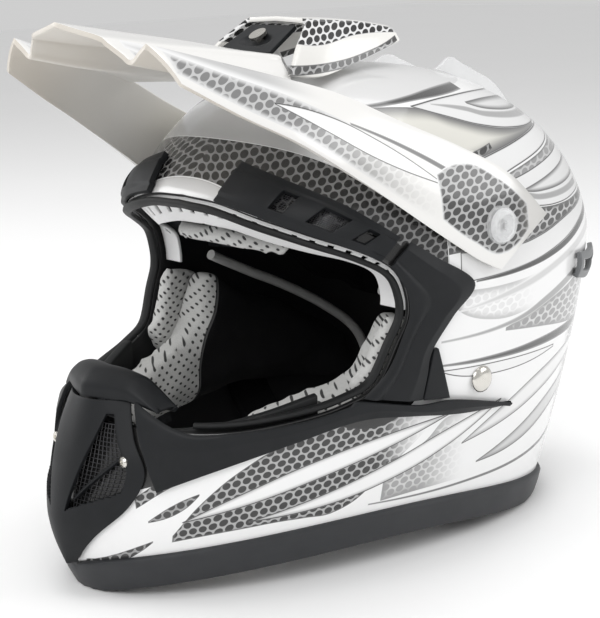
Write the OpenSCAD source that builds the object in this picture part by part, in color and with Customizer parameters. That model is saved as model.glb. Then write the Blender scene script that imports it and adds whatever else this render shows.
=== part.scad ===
/* [Shell] */
// Half width of the shell at its widest level
half_width = 128; // [122:1:134]
// How much narrower each side is at the base
base_tuck = 30; // [20:1:40]
// Level of the top of the shell above the base plane
top_z = 284; // [276:1:290]
// Level at which the shell is widest
wide_z = 175; // [165:1:185]
// Level of the shell's lower edge at front and rear
base_z = 10; // [8:1:14]
// Height of the arch in the lower edge on each side
arch_h = 20; // [10:1:24]
// Mean reach of the front from the head axis
front_mid = 160; // [155:1:165]
// How far the chin stands ahead of the mean and the crown behind it
front_swing = 50; // [45:1:55]
// How far the chin draws back again towards its lower edge
chin_tuck = 8; // [4:1:12]
// Reach of the rear from the head axis at the widest level
rear_reach = 173; // [168:1:178]
// How much shorter the rear is at the base
rear_tuck = 41; // [30:1:50]
// Wall thickness of the shell
wall = 3.6; // [3:0.1:5]
/* [Inside] */
// Thickness of the impact foam
foam_t = 27; // [22:1:30]
// Thickness of the crown liner
liner_t = 9; // [6:1:12]
/* [Peak] */
// Wall thickness of the peak
peak_t = 2.6; // [2:0.1:4]
// Half width of the scoop's roof
scoop_half = 29; // [24:1:32]
// Radius of the pivot screw's shaft
pivot_r = 4; // [3:0.5:5]
// Radius of the pivot screw's head
pivot_head_r = 10; // [8:1:12]
// Level of the peak's pivot axis
pivot_z = 197; // [190:1:200]
/* [Chin strap] */
// Width of the webbing
webbing_w = 24; // [20:1:28]
// Thickness of the webbing
webbing_t = 2.4; // [2:0.1:3]
// Level of the strap's anchor rivets
rivet_z = 105; // [100:1:110]
/* [Hidden] */
centre_y = 22.6;      // from the head axis to the middle of the object's length
cap_power = 2.3;     // roundness of the crown above the widest level
tuck_power = 1.6;    // how the sides draw in towards the base
rear_power = 1.2;    // how the rear draws in towards the base
crown_lean = 0.25;   // how much the rear leans in per millimetre above the widest level
chin_z = 20;         // level at which the chin reaches furthest
swing_h = 264;       // height over which the front falls back from chin to crown
tuck_z = 45;         // level below which the chin draws back
pivot_y = 5;
rivet_y = 2;
clear = 0.3;         // gap kept between neighbouring pieces
foam_gap = 0.8;      // gap kept on each side of the foam
half_cols = 28;      // columns of the shell's grid from front to rear
eye_cols = 10;       // of these, the columns across half of the eyeport
low_rows = 6;
eye_rows = 6;
crown_rows = 9;
shell_rows = low_rows + eye_rows + crown_rows;
// Half outline of the eyeport from top centre round to bottom centre: angle from the front, level
eyeport = [[0, 217], [15, 215], [31, 207], [43, 199], [54, 190], [62, 179], [65, 164], [65, 150],
    [62, 136], [57, 114], [49, 105], [40, 100], [27, 96], [14, 97], [0, 100]];
eye_last = len(eyeport) - 1;
eye_upper = 4;       // the outline's points that are corners of the opening
eye_lower = 9;

function lerp(a, b, t) = a + (b - a) * t;
function clamp01(t) = min(1, max(0, t));

// A smooth curve through points, at s from 0 to 1
function bend(p, q, r, u, t) =
    (q * 2 + (r - p) * t + (p * 2 - q * 5 + r * 4 - u) * t * t + (q * 3 - p - r * 3 + u) * t * t * t) / 2;
function rail(pts, s) =
    let (last = len(pts) - 1, v = clamp01(s) * last, k = min(floor(v), last - 1),
        before = k > 0 ? pts[k - 1] : pts[0] * 2 - pts[1],
        after = k + 2 <= last ? pts[k + 2] : pts[last] * 2 - pts[last - 1])
    bend(before, pts[k], pts[k + 1], after, v - k);

// The outer skin: every level is a superellipse about the head axis
function crown_cap(z) = z <= wide_z ? 1
    : pow(max(0, 1 - pow((z - wide_z) / (top_z - wide_z), cap_power)), 1 / cap_power);
function below(z) = max(0, (wide_z - z) / (wide_z - base_z));
function skin_w(z) = (half_width - base_tuck * pow(below(z), tuck_power)) * crown_cap(z);
function skin_front(z) = (front_mid + front_swing * cos(180 * max(0, z - chin_z) / swing_h)
    - chin_tuck * pow(max(0, (tuck_z - z) / (tuck_z - base_z)), 1.5)) * crown_cap(z);
function skin_rear(z) = (rear_reach - rear_tuck * pow(below(z), rear_power)
    - crown_lean * max(0, z - wide_z)) * crown_cap(z);
function front_n(z) = 1.9 + 0.3 * (z - base_z) / (top_z - base_z);
function rear_n(z) = 2.5 - 0.3 * (z - base_z) / (top_z - base_z);
function skin_f(x, y, z) =
    let (n = y < 0 ? front_n(z) : rear_n(z), reach = y < 0 ? skin_front(z) : skin_rear(z))
    pow(pow(abs(x) / max(skin_w(z), 0.01), n) + pow(abs(y) / max(reach, 0.01), n), 1 / n);
function skin_normal(p) =
    let (h = 0.5, g = [skin_f(p.x + h, p.y, p.z) - skin_f(p.x - h, p.y, p.z),
        skin_f(p.x, p.y + h, p.z) - skin_f(p.x, p.y - h, p.z),
        skin_f(p.x, p.y, p.z + h) - skin_f(p.x, p.y, p.z - h)])
    g / norm(g);
// A point pushed straight out or in to the skin at its own level, then off it along the normal
function on_skin(p, d) =
    let (k = 1 / skin_f(p.x, p.y, p.z), q = [p.x * k, p.y * k, p.z])
    q + skin_normal(q) * d;
function at_angle(a, z, d) = on_skin([100 * sin(a), -100 * cos(a), z], d);

// The eyeport's half outline at s, moved outward from the opening by grow
function eye_point(s, grow) =
    let (p = rail(eyeport, s), q = rail(eyeport, min(1, s + 0.01)) - rail(eyeport, max(0, s - 0.01)),
        t = [q.x * 2.1, q.y], n = [-t.y, t.x] / norm(t))
    p + [max(-p.x, n.x * grow / 2.1), n.y * grow];
// The whole loop, round from top centre by the left, with signed angles
function eye_edge(k, grow) = let (p = eye_point(k / eye_last, grow)) at_angle(p.x, p.y, 0);
function eye_loop(u, grow) = u <= 0.5 ? eye_point(u * 2, grow)
    : let (p = eye_point(2 - u * 2, grow)) [-p.x, p.y];

// The shell's grid: column j from front centre round, row i from the base to the crown
function arch(a) = a >= 150 ? 0 : arch_h * sin(180 * pow(a / 150, 0.7));
function eye_low_row(j, grow) = j <= eye_cols
    ? eye_point(lerp(1, eye_lower / eye_last, j / eye_cols), grow)
    : let (f = (j - eye_cols) / (half_cols - eye_cols), p = eye_point(eye_lower / eye_last, grow))
        [lerp(p.x, 180, f), lerp(p.y, 105, f)];
function eye_high_row(j, grow) = j <= eye_cols
    ? eye_point(lerp(0, eye_upper / eye_last, j / eye_cols), grow)
    : let (f = (j - eye_cols) / (half_cols - eye_cols), p = eye_point(eye_upper / eye_last, grow))
        [lerp(p.x, 180, f), lerp(p.y, 200, f)];
function eye_mid_row(j, t, grow) =
    let (f = clamp01((j - eye_cols) / (half_cols - eye_cols)),
        low = eye_point(eye_lower / eye_last, grow), high = eye_point(eye_upper / eye_last, grow),
        side = eye_point(lerp(eye_lower, eye_upper, t) / eye_last, grow))
    lerp(eye_low_row(j, grow), eye_high_row(j, grow), t) + (side - lerp(low, high, t)) * pow(1 - f, 2);
function shell_spot(i, j, grow, foot) =
    let (even = 180 * j / half_cols, low = eye_low_row(j, grow), high = eye_high_row(j, grow),
        k = (i - low_rows - eye_rows) / crown_rows)
    i <= low_rows ? let (t = i / low_rows, a = lerp(even, low.x, t)) [a, lerp(foot + arch(a), low.y, t)]
    : i <= low_rows + eye_rows ? eye_mid_row(j, (i - low_rows) / eye_rows, grow)
    : [lerp(high.x, even, k), lerp(high.y, top_z, sin(87.5 * k))];
function shell_point(i, jj, d, grow, foot) =
    let (j = jj <= half_cols ? jj : 2 * half_cols - jj, s = shell_spot(i, j, grow, foot),
        p = at_angle(s.x, s.y, d))
    jj <= half_cols ? p : [-p.x, p.y, p.z];
function shell_grid(first, last, d, grow = 0, foot = base_z) =
    [for (i = [first:last]) [for (j = [0:2 * half_cols - 1]) shell_point(i, j, d, grow, foot)]];
function side_col(j) = min(j, 2 * half_cols - 1 - j);
function in_eyeport(i, j, first, side_cols) = i + first >= low_rows && i + first < low_rows + eye_rows
    && (j < eye_cols + side_cols || j >= 2 * half_cols - eye_cols - side_cols);

// A closed wall between two grids of points, with a face only where keep says so
module wall_between(outer, inner, wrap = false, cap = false, keep = function(i, j) true) {
    rows = len(outer);
    cols = len(outer[0]);
    cells = wrap ? cols : cols - 1;
    function id(i, j, side) = side * rows * cols + i * cols + j % cols;
    function kept(i, j) = i >= 0 && i < rows - 1 && (wrap || (j >= 0 && j < cells))
        && keep(i, (j + cells) % cells);
    function quad(a, b, c, d) = [[a, b, c], [a, c, d]];
    faces = [for (i = [0:rows - 2]) for (j = [0:cells - 1]) if (kept(i, j)) each concat(
        quad(id(i, j, 0), id(i + 1, j, 0), id(i + 1, j + 1, 0), id(i, j + 1, 0)),
        quad(id(i, j, 1), id(i, j + 1, 1), id(i + 1, j + 1, 1), id(i + 1, j, 1)),
        kept(i - 1, j) ? [] : quad(id(i, j, 0), id(i, j + 1, 0), id(i, j + 1, 1), id(i, j, 1)),
        kept(i + 1, j) || (cap && i == rows - 2) ? []
            : quad(id(i + 1, j, 0), id(i + 1, j, 1), id(i + 1, j + 1, 1), id(i + 1, j + 1, 0)),
        kept(i, j - 1) ? [] : quad(id(i, j, 0), id(i, j, 1), id(i + 1, j, 1), id(i + 1, j, 0)),
        kept(i, j + 1) ? []
            : quad(id(i, j + 1, 0), id(i + 1, j + 1, 0), id(i + 1, j + 1, 1), id(i, j + 1, 1)))];
    caps = cap ? [[for (j = [cols - 1:-1:0]) id(rows - 1, j, 0)], [for (j = [0:cols - 1]) id(rows - 1, j, 1)]]
        : [];
    polyhedron(points = [each each outer, each each inner], faces = concat(faces, caps), convexity = 10);
}

// A moulded panel on the skin between a lower and an upper rail, standing from d_in to d_out
module panel(low, high, d_in, d_out, rows, cols, bulge = 0, keep = function(i, j) true) {
    function spot(i, j) = lerp(rail(low, j / cols), rail(high, j / cols), i / rows);
    function swell(i, j) = bulge * sin(180 * i / rows) * sin(180 * clamp01(j / cols));
    outer = [for (i = [0:rows]) [for (j = [0:cols]) on_skin(spot(i, j), d_out + swell(i, j))]];
    inner = [for (i = [0:rows]) [for (j = [0:cols]) on_skin(spot(i, j), d_in)]];
    wall_between(outer, inner, keep = keep);
}

module both_sides(left) {
    if (left) children(); else mirror([1, 0, 0]) children();
}
module place() { translate([0, centre_y, 0]) children(); }

module outer_shell() {
    color("white") place() wall_between(shell_grid(0, shell_rows, 0), shell_grid(0, shell_rows, -wall),
        wrap = true, cap = true, keep = function(i, j) !in_eyeport(i, j, 0, 0));
}

// Impact foam from the strap's level up, with its own larger face opening
module foam_crown() {
    first = low_rows;
    grow = 7;
    color("dimgray") place() wall_between(shell_grid(first, shell_rows, -wall - foam_gap, grow),
        shell_grid(first, shell_rows, -wall - foam_t, grow), wrap = true, cap = true,
        keep = function(i, j) !in_eyeport(i, j, first, 0) && i >= (side_col(j) < 13 ? 4
            : side_col(j) < 20 ? 3 : 1));
}

module foam_chin() {
    low = [for (a = [-52:13:52]) at_angle(a, 34 + arch(abs(a)) * 0.8, 0)];
    high = [for (a = [-52:13:52]) at_angle(a, 88, 0)];
    color("dimgray") place() panel(low, high, -wall - 13, -wall - foam_gap, 3, 16);
}

// Part of the eyeport's loop, reach to each side of top centre, at one growth and depth
function eye_ring(reach, cols, grow, d) = [for (j = [0:cols]) let (u = lerp(-reach, reach, j / cols),
    p = eye_loop(u < 0 ? u + 1 : u, grow)) at_angle(p.x, p.y, d)];

// Seal round the opening's edge, as far as the nose piece on each side
module eyeport_gasket() {
    reach = 0.447;
    cols = 80;
    outer = -3.1;
    inner = -5.4;
    outside = 1.4;
    inside = -wall - 1.5;
    function ring(grow, d) = eye_ring(reach, cols, grow, d);
    color("#202224") place() wall_between([ring(inner, outside), ring(outer, outside)],
        [ring(inner, inside), ring(outer, inside)]);
}

// Moulded reveal over the top and down both sides of the opening, sloping in under the foam's edge
module eyeport_rim() {
    cols = 44;
    reach = 0.24;
    function ring(grow, d) = eye_ring(reach, cols, grow, -wall - d);
    color("whitesmoke") place()
        wall_between([ring(3, 1.8), ring(-4.5, 20.4)], [ring(0.4, 1.8), ring(-7, 20.4)]);
}

module brow_vent(left) {
    low = [for (k = [1:0.5:4.6]) eye_edge(k, -0.5)];
    high = [[37, -101, 235], [69, -94, 226], [95, -80, 215], [109, -66, 203.5], [114.5, -57, 196.5]];
    color("#26282a") both_sides(left) place() panel(low, high, 1.4, 5, 4, 15, 2.5,
        function(i, j) !((i == 1 || i == 2) && (j == 4 || j == 7 || j == 8 || j == 11)));
}

module brow_mesh(left) {
    low = [[54, -113, 213.5], [88, -96, 203.5], [104, -80, 195.5]];
    high = [[62, -96, 225], [88, -84, 215.5], [104, -71, 204]];
    color("dimgray") both_sides(left) place() panel(low, high, 0.2, 1.1, 2, 8);
}

module side_trim(left) {
    rear = [[116, -44, 102], [118, -42, 116], [121, -40, 131], [125, -27, 149], [127, -12, 166],
        [122.5, -38, 184], [117, -51.5, 193.5]];
    front = [for (k = [9.5:-0.94:4.7]) eye_edge(k, -0.5)];
    function spot(i, j, d) = on_skin(lerp(rail(front, i / 12), rail(rear, i / 12), j / 5), d);
    color("#26282a") both_sides(left) place() wall_between(
        [for (i = [0:12]) [for (j = [0:5]) spot(i, j, clear + 2.2 + 3 * sin(36 * j))]],
        [for (i = [0:12]) [for (j = [0:5]) spot(i, j, clear)]]);
}

// Small cover plate behind the side trim
module hinge_trim(left) {
    low = [[116, -43, 101.5], [118, -24, 99.5]];
    high = [[121, -39, 131], [122, -36, 131.5]];
    color("#1b1c1e") both_sides(left) place() panel(low, high, clear, 3.4, 4, 2);
}

// Chin trim from the mouthpiece's strut back to its spike
module chin_trim(left) {
    low = [[50, -183, 64], [69, -155, 75], [93, -112, 89], [106, -81, 96], [113, -49, 93], [117, -12, 87],
        [116, 30, 82.5]];
    high = concat([[31.5, -180, 111]], [for (k = [12.6, 12, 11, 10, 9.6]) eye_edge(k, -0.5)],
        [[115, -48, 100.5], [118, -20, 98], [116, 31, 84.5]]);
    color("#26282a") both_sides(left) place() panel(low, high, clear, 4.4, 4, 22, 1.6);
}

// The mouthpiece stands ahead of the skin more and more towards its top: a wedge between two windows
mouth_low = 17;
mouth_high = 112;
mouth_outline = [[3, 1.5], [21, 4], [39, 8], [45, 13], [36, 18], [28, 21]];
function mouth_half(z) = rail(mouth_outline, (z - mouth_low) / (mouth_high - mouth_low)).x;
function mouth_crease(z) = rail(mouth_outline, (z - mouth_low) / (mouth_high - mouth_low)).y;
function skin_y(x, z) = -skin_front(z) * pow(1 - pow(abs(x) / skin_w(z), front_n(z)), 1 / front_n(z));
module mouthpiece() {
    rows = 14;
    cols = 12;
    function across(z, j) = let (u = abs(j - 6), half = mouth_half(z), crease = mouth_crease(z))
        sign(j - 6) * (u <= 2 ? crease * u / 2 : u == 6 ? half : lerp(crease, half - strut(z), (u - 2) / 3));
    function strut(z) = min(7, mouth_half(z) * 0.3);
    function spot(i, j, d) =
        let (t = i / rows, z = lerp(mouth_low, mouth_high, t), x = across(z, j), u = x / mouth_half(z))
        [x, skin_y(x, z) - 3 - lerp(5, 10, t) * (1 - u * u) - d, z];
    outer = [for (i = [0:rows]) [for (j = [0:cols]) spot(i, j, 0)]];
    inner = [for (i = [0:rows]) [for (j = [0:cols]) spot(i, j, -2.6)]];
    color("#1f2123") place() wall_between(outer, inner,
        keep = function(i, j) i < 5 || i > 12 || j == 0 || j == cols - 1 || (j > 3 && j < cols - 4));
}

// Dome over the mouthpiece, sloping down on each side to the chin trims
module nose_cap() {
    profile = [[-195, 112.6], [-193, 121], [-184, 127.5], [-174, 126], [-168, 116], [-167, 104]];
    inside = [[-191, 113], [-189, 119], [-183, 123.5], [-176, 122], [-172, 114], [-171, 104]];
    rows = 10;
    cols = 16;
    half = 46;
    function spot(path, i, j, thick) =
        let (p = rail(path, i / rows), t = lerp(-1, 1, j / cols), u = abs(t),
            edge = 112.6 - max(0, u * half - 29) * 0.36)
        [t * half, p.x + 17 * pow(u, 1.3) * (1 - i / rows) + 3 * u,
            edge + (p.y - 112.6) * (1 - 0.85 * pow(u, 2.5)) - thick * u * u];
    color("#1f2123") place() wall_between([for (i = [0:rows]) [for (j = [0:cols]) spot(profile, i, j, 0)]],
        [for (i = [0:rows]) [for (j = [0:cols]) spot(inside, i, j, 2.2)]]);
}

module mouth_mesh(left) {
    rows = 5;
    cols = 4;
    function spot(i, j, d) =
        let (z = lerp(46, 98, i / rows), x = lerp(4, mouth_half(z) - 4, j / cols)) [x, skin_y(x, z) - d, z];
    color("dimgray") both_sides(left) place() wall_between(
        [for (i = [0:rows]) [for (j = [0:cols]) spot(i, j, 1.2)]],
        [for (i = [0:rows]) [for (j = [0:cols]) spot(i, j, clear)]]);
}

module mouth_screws() {
    color("silver") place() for (side = [-1, 1])
        translate([side * 34, -190.9, 80]) rotate([90, 0, 0]) cylinder(r = 3.6, h = 2.4);
}

// Rubber lip along the top of the chin bar, inside the trims
module chin_lip() {
    low = [for (a = [-44:11:44]) at_angle(a, 88.5, 0)];
    high = [for (a = [-44:11:44]) at_angle(a, eye_point(1 - 0.33 * abs(a) / 44, 0).y + 2, 0)];
    color("#2b2d30") place() panel(low, high, -wall - 9, -wall - 1.8, 2, 16);
}

// Soft edge trim: a channel over the shell's lower edge, cut flat where it stands
module neck_trim() {
    top = 5;
    function ring(d, lift) = [for (j = [0:2 * half_cols - 1])
        let (a = 180 * j / half_cols, b = a <= 180 ? a : 360 - a, p = at_angle(b, base_z + arch(b) + lift, d))
        [a <= 180 ? p.x : -p.x, p.y, p.z]];
    foot = -base_z - 4;
    deep = -wall - 4.5;
    color("#3a3c3f") place() difference() {
        wall_between([ring(3, foot), ring(3.6, -2), ring(2.4, top)], [ring(deep, foot), ring(deep, -2),
            ring(deep, top)], wrap = true);
        wall_between([ring(clear, -clear), ring(clear, top + 1)], [ring(-wall - clear, -clear),
            ring(-wall - clear, top + 1)], wrap = true);
        translate([-150, -250, -20]) cube([300, 500, 20]);
    }
}

module rear_vent(left) {
    low = [[113, 93, 150], [101, 116, 146], [86, 138, 150]];
    high = [[112, 95, 166], [100, 118, 163], [86, 138, 163]];
    color("#3a3c3f") both_sides(left) place() panel(low, high, clear, 3.6, 3, 6, 2,
        function(i, j) !(i == 1 && j > 0 && j < 5));
}

// Pair of low clear fins over the rear of the crown
module crown_fin() {
    run = [[28, 51, 276], [28, 92, 266], [28, 127, 248], [28, 152, 229]];
    rise = [[0.4, 0], [10.5, 0], [10, 0], [10, 0], [11, 0], [9, 0], [5, 0], [0.4, 0]];
    cols = 14;
    function spot(i, j, side) = let (p = on_skin(rail(run, j / cols), 0.7))
        [p.x + side * 1.2, p.y, p.z + i * rail(rise, j / cols).x];
    color("gainsboro", 0.6) place() for (side = [0, 1]) mirror([side, 0, 0])
        wall_between([for (i = [0, 1]) [for (j = [0:cols]) spot(i, j, 1)]],
            [for (i = [0, 1]) [for (j = [0:cols]) spot(i, j, -1)]]);
}

module crown_liner() {
    first = low_rows;
    d = -wall - foam_t - foam_gap;
    color("#1d1e20") place() wall_between(shell_grid(first, shell_rows, d, 12),
        shell_grid(first, shell_rows, d - liner_t, 12), wrap = true, cap = true,
        keep = function(i, j) !in_eyeport(i, j, first, 3) && i >= min(4, ceil((21 - side_col(j)) / 2.2)));
}

// Soft cord sewn along the upper rear edge of each cheek pad
piping_path = [[114, -46, 154], [115, -14, 138], [113, 20, 121], [107, 55, 101], [99, 84, 80], [93, 96, 58]];
module liner_piping() {
    radius = 3.5;
    steps = 24;
    function centre(t) = on_skin(rail(piping_path, t) + [0, 0, 4.2], -wall - 38);
    function ring(t) = let (n = centre(min(1, t + 0.01)) - centre(max(0, t - 0.01)),
        side = cross(n, [0, 0, 1]) / norm(cross(n, [0, 0, 1])))
        [for (k = [0:7]) centre(t) + side * radius * cos(45 * k) + [0, 0, radius * sin(45 * k)]];
    pts = [for (i = [0:steps]) each ring(i / steps)];
    color("lightgray") place() for (side = [0, 1]) mirror([side, 0, 0])
        polyhedron(points = pts, faces = concat([[for (k = [7:-1:0]) k], [for (k = [0:7]) steps * 8 + k]],
            [for (i = [0:steps - 1]) for (k = [0:7]) each let (a = i * 8 + k, b = i * 8 + (k + 1) % 8)
                [[a, b + 8, a + 8], [a, b, b + 8]]]));
}

module brow_pad() {
    low = [for (a = [-34:8.5:34]) at_angle(a, 205 - pow(a / 34, 2) * 8, 0)];
    high = [for (a = [-34:8.5:34]) at_angle(a, 219 - pow(a / 34, 2) * 8, 0)];
    color("silver") place() panel(low, high, -wall - 39, -wall - 28.2, 3, 14);
}

module cheek_pad(left) {
    low = [[72, -140, 64], [86, -106, 58], [95, -62, 55], [100, -30, 54], [101, 10, 53], [99, 50, 51],
        [93, 92, 48]];
    high = [[74, -138, 99], [94, -106, 106], [110, -72, 120], [114, -46, 151], [115, -14, 137],
        [112, 34, 112], [99, 84, 80]];
    color("#232426") both_sides(left) place() panel(low, high, -wall - 40, -wall - 16, 6, 16);
}

// Thin pad that follows the side of the opening, between the shell and the cheek pad
module cheek_front(left) {
    low = [for (k = [9.6:-0.43:7]) eye_edge(k, -7)];
    high = [for (k = [9.6:-0.43:7]) eye_edge(k, lerp(17, 24, (9.6 - k) / 2.6))];
    color("silver") both_sides(left) place() panel(low, high, -wall - 15.6, -wall - 2, 5, 14);
}

module neck_roll() {
    low = [for (a = [140:8:220]) let (b = a > 180 ? 360 - a : a, p = at_angle(b, 34 + arch(b), 0))
        [a > 180 ? -p.x : p.x, p.y, p.z]];
    high = [for (q = low) [q.x, q.y, 100]];
    color("#232426") place() panel(low, high, -wall - 24, -wall - 5.2, 4, 18);
}

module pivot_bosses() {
    depth = 6.4;
    floor_t = 3.8;
    color("white") place() for (side = [0, 1]) mirror([side, 0, 0])
        translate([123.2, pivot_y, pivot_z]) rotate([0, 90, 0]) difference() {
            cylinder(r = 9, h = depth);
            translate([0, 0, floor_t]) cylinder(r = pivot_r, h = depth);
        }
}

module pivot_screw(left) {
    shaft = 8.7;
    color("gainsboro") both_sides(left) place() translate([127.1, pivot_y, pivot_z]) rotate([0, 90, 0]) union() {
        cylinder(r = pivot_r - 0.02, h = shaft + 0.4);
        translate([0, 0, shaft]) cylinder(r = pivot_head_r, h = 2);
        translate([0, 0, shaft + 2]) cylinder(r1 = pivot_head_r, r2 = pivot_head_r - 3, h = 2, $fn = 48);
    }
}

// Anchor rivets of the strap, through the shell
rivet_r = 3.2;
module strap_rivets() {
    color("silver") place() for (side = [0, 1]) mirror([side, 0, 0])
        translate([0, rivet_y, rivet_z]) rotate([0, 90, 0]) union() {
            translate([0, 0, 121]) cylinder(r1 = 8, r2 = 6.2, h = 2.2, $fn = 48);
            translate([0, 0, 105]) cylinder(r = rivet_r, h = 16.5);
            translate([0, 0, 105]) cylinder(r = 6, h = 1.6);
        }
}

// Post on the crown that the peak's middle screw goes into, square to the peak's swing
post_y = -57;
post_z = 303;
inlet_slope = atan((pivot_y - post_y) / (post_z - pivot_z));
module centre_post() {
    color("white") place() translate([0, post_y, post_z]) rotate([inlet_slope, 0, 0]) difference() {
        translate([0, 0, -36]) cylinder(r = 7, h = 32);
        translate([0, 0, -18]) cylinder(r = 2.5, h = 20);
    }
}
module centre_screw() {
    // the head stays clear of the inlet plate as the plate tilts under it
    head_gap = 0.8;
    color("dimgray") place() translate([0, post_y, post_z]) rotate([inlet_slope, 0, 0]) union() {
        translate([0, 0, -17]) cylinder(r = 2.48, h = 18);
        translate([0, 0, head_gap]) cylinder(r = 5.5, h = 2);
    }
}

// The peak: seven cross lines from lower edge over the flank's middle to the ridge
wing_low = [[86, -178, 289], [98, -148, 270], [110, -118, 253], [119, -78, 226], [127, -42, 200],
    [132, -14, 181], [133.5, -3, 175], [134, 6, 171]];
wing_mid = [[77, -181, 300], [89, -150, 286], [101, -118, 272], [113, -85, 250], [124, -48, 226],
    [131.5, -12, 210], [133.6, 8, 200], [134, 27, 186]];
wing_high = [[65, -184, 309], [76, -148, 298], [87, -116, 288], [99, -84, 277], [111, -48, 259],
    [121, -12, 242], [128, 20, 224], [133, 46, 198]];
valley = [[50, -183.5, 300], [51, -148, 292], [50, -112, 286], [46, -70, 279]];
crown_edge = [[33, -191, 312.5], [33, -152, 306], [33, -112, 300.5], [33, -70, 294.5]];
crown_mid = [[0, -197, 319.5], [0, -155, 312], [0, -112, 304.5], [0, -70, 296]];
function over(a, b, c, t) = a * (1 - t) * (1 - t) + (b * 2 - (a + c) / 2) * 2 * t * (1 - t) + c * t * t;
function wing_point(s, t) = over(rail(wing_low, s), rail(wing_mid, s), rail(wing_high, s), t);
module wing(left) {
    rows = 6;
    cols = 24;
    outer = [for (i = [0:rows]) [for (j = [0:cols]) wing_point(j / cols, i / rows)]];
    function inward(i, j) =
        let (u = wing_point(j / cols, min(1, (i + 0.5) / rows)) - wing_point(j / cols, max(0, (i - 0.5) / rows)),
            v = wing_point(min(1, (j + 0.5) / cols), i / rows) - wing_point(max(0, (j - 0.5) / cols), i / rows),
            n = cross(v, u))
        outer[i][j] - n / norm(n) * peak_t;
    inner = [for (i = [0:rows]) [for (j = [0:cols]) inward(i, j)]];
    both_sides(left) wall_between(outer, inner);
}
// Front half of the peak from ridge to ridge
module visor_deck() {
    rows = 9;
    function across(s) = let (b = rail([for (k = [0:3]) wing_high[k]], s), v = rail(valley, s),
        c = rail(crown_edge, s), m = rail(crown_mid, s))
        [b + [-0.4, 0, 0], lerp(b, v, 0.5) + [0, 0, -1], v, lerp(v, c, 0.35), lerp(v, c, 0.8), c, lerp(c, m, 0.5)
            + [0, 0, 0.5], m];
    function whole(s, drop) = let (h = across(s))
        [for (k = [0:7]) [-h[k].x, h[k].y, h[k].z - drop], for (k = [6:-1:0]) [h[k].x, h[k].y, h[k].z - drop]];
    wall_between([for (i = [0:rows]) whole(i / rows, 0)], [for (i = [0:rows]) whole(i / rows, peak_t)]);
}
module peak_visor() {
    color("whitesmoke") place() difference() {
        union() {
            wing(true);
            wing(false);
            visor_deck();
        }
        for (side = [0, 1]) mirror([side, 0, 0])
            translate([120, pivot_y, pivot_z]) rotate([0, 90, 0]) cylinder(r = 11.2, h = 30);
    }
}

// The scoop: roof and sides over the middle of the peak, open at the rear
scoop_roof = [[-44, 313.5], [-25, 312], [0, 310], [26, 305.5]];
module peak_scoop() {
    rows = 8;
    function section(t, inset) =
        let (r = rail(scoop_roof, t), half = lerp(scoop_half, scoop_half - 3, t) - inset,
            foot = lerp(46, 33, t) - inset, z1 = r.y - inset, lean = 28 * (1 - t),
            z0 = rail([[0, 284], [0, 281], [0, 288], [0, 297]], t).y,
            side = [[foot, r.x - lean, z0], [lerp(foot, half, 0.5), r.x - lean / 2, lerp(z0, z1, 0.55)],
                [half, r.x, z1 - 1.5], [half - 4, r.x, z1]])
        concat([for (q = side) [-q.x, q.y, q.z]], [[0, r.x, z1 + 1]], [for (k = [3:-1:0]) side[k]]);
    color("gainsboro") place() wall_between([for (i = [0:rows]) section(i / rows, 0)],
        [for (i = [0:rows]) section(i / rows, peak_t)]);
}

// Black inlet plate in the scoop's mouth, slotted for the middle screw
module scoop_inlet() {
    slot = 8.2;
    color("#202224") place() translate([0, post_y, post_z]) rotate([inlet_slope, 0, 0]) difference() {
        translate([0, 0, -2.6]) linear_extrude(2.6)
            polygon([[-24, -14.5], [24, -14.5], [20, 13], [-20, 13]]);
        translate([0, 0, -4]) linear_extrude(6) union() {
            square([5.6, slot * 2], center = true);
            for (side = [-1, 1]) translate([0, side * slot]) circle(r = 2.8);
        }
    }
}

module peak_bushes() {
    color("gainsboro") place() for (side = [0, 1]) mirror([side, 0, 0])
        translate([129.9, pivot_y, pivot_z]) rotate([0, 90, 0]) difference() {
            cylinder(r = 11, h = 5.6);
            translate([0, 0, -1]) cylinder(r = pivot_r + 0.05, h = 8);
        }
}

// The fastened chin strap hangs between the rivets as one loop
strap_path = [[109.6, 2, 98], [108.6, 2, 90], [105.5, 2, 78], [100, 2, 62], [88, 2, 46], [68, 2, 30],
    [40, 2, 19.5], [0, 2, 16]];
function strap_side(s) = s <= 0.5 ? rail(strap_path, s * 2)
    : let (p = rail(strap_path, 2 - s * 2)) [-p.x, p.y, p.z];
module band(s0, s1, t0, t1, width, cols) {
    function out(s) = let (v = strap_side(min(1, s + 0.004)) - strap_side(max(0, s - 0.004)))
        [-v.z, 0, v.x] / norm([-v.z, 0, v.x]);
    function edge(s, y, t) = strap_side(s) + out(s) * t + [0, y, 0];
    function row(t) = [for (i = [0, 1]) [for (j = [0:cols])
        edge(lerp(s0, s1, j / cols), (i - 0.5) * width, t)]];
    wall_between(row(t1), row(t0));
}
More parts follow.
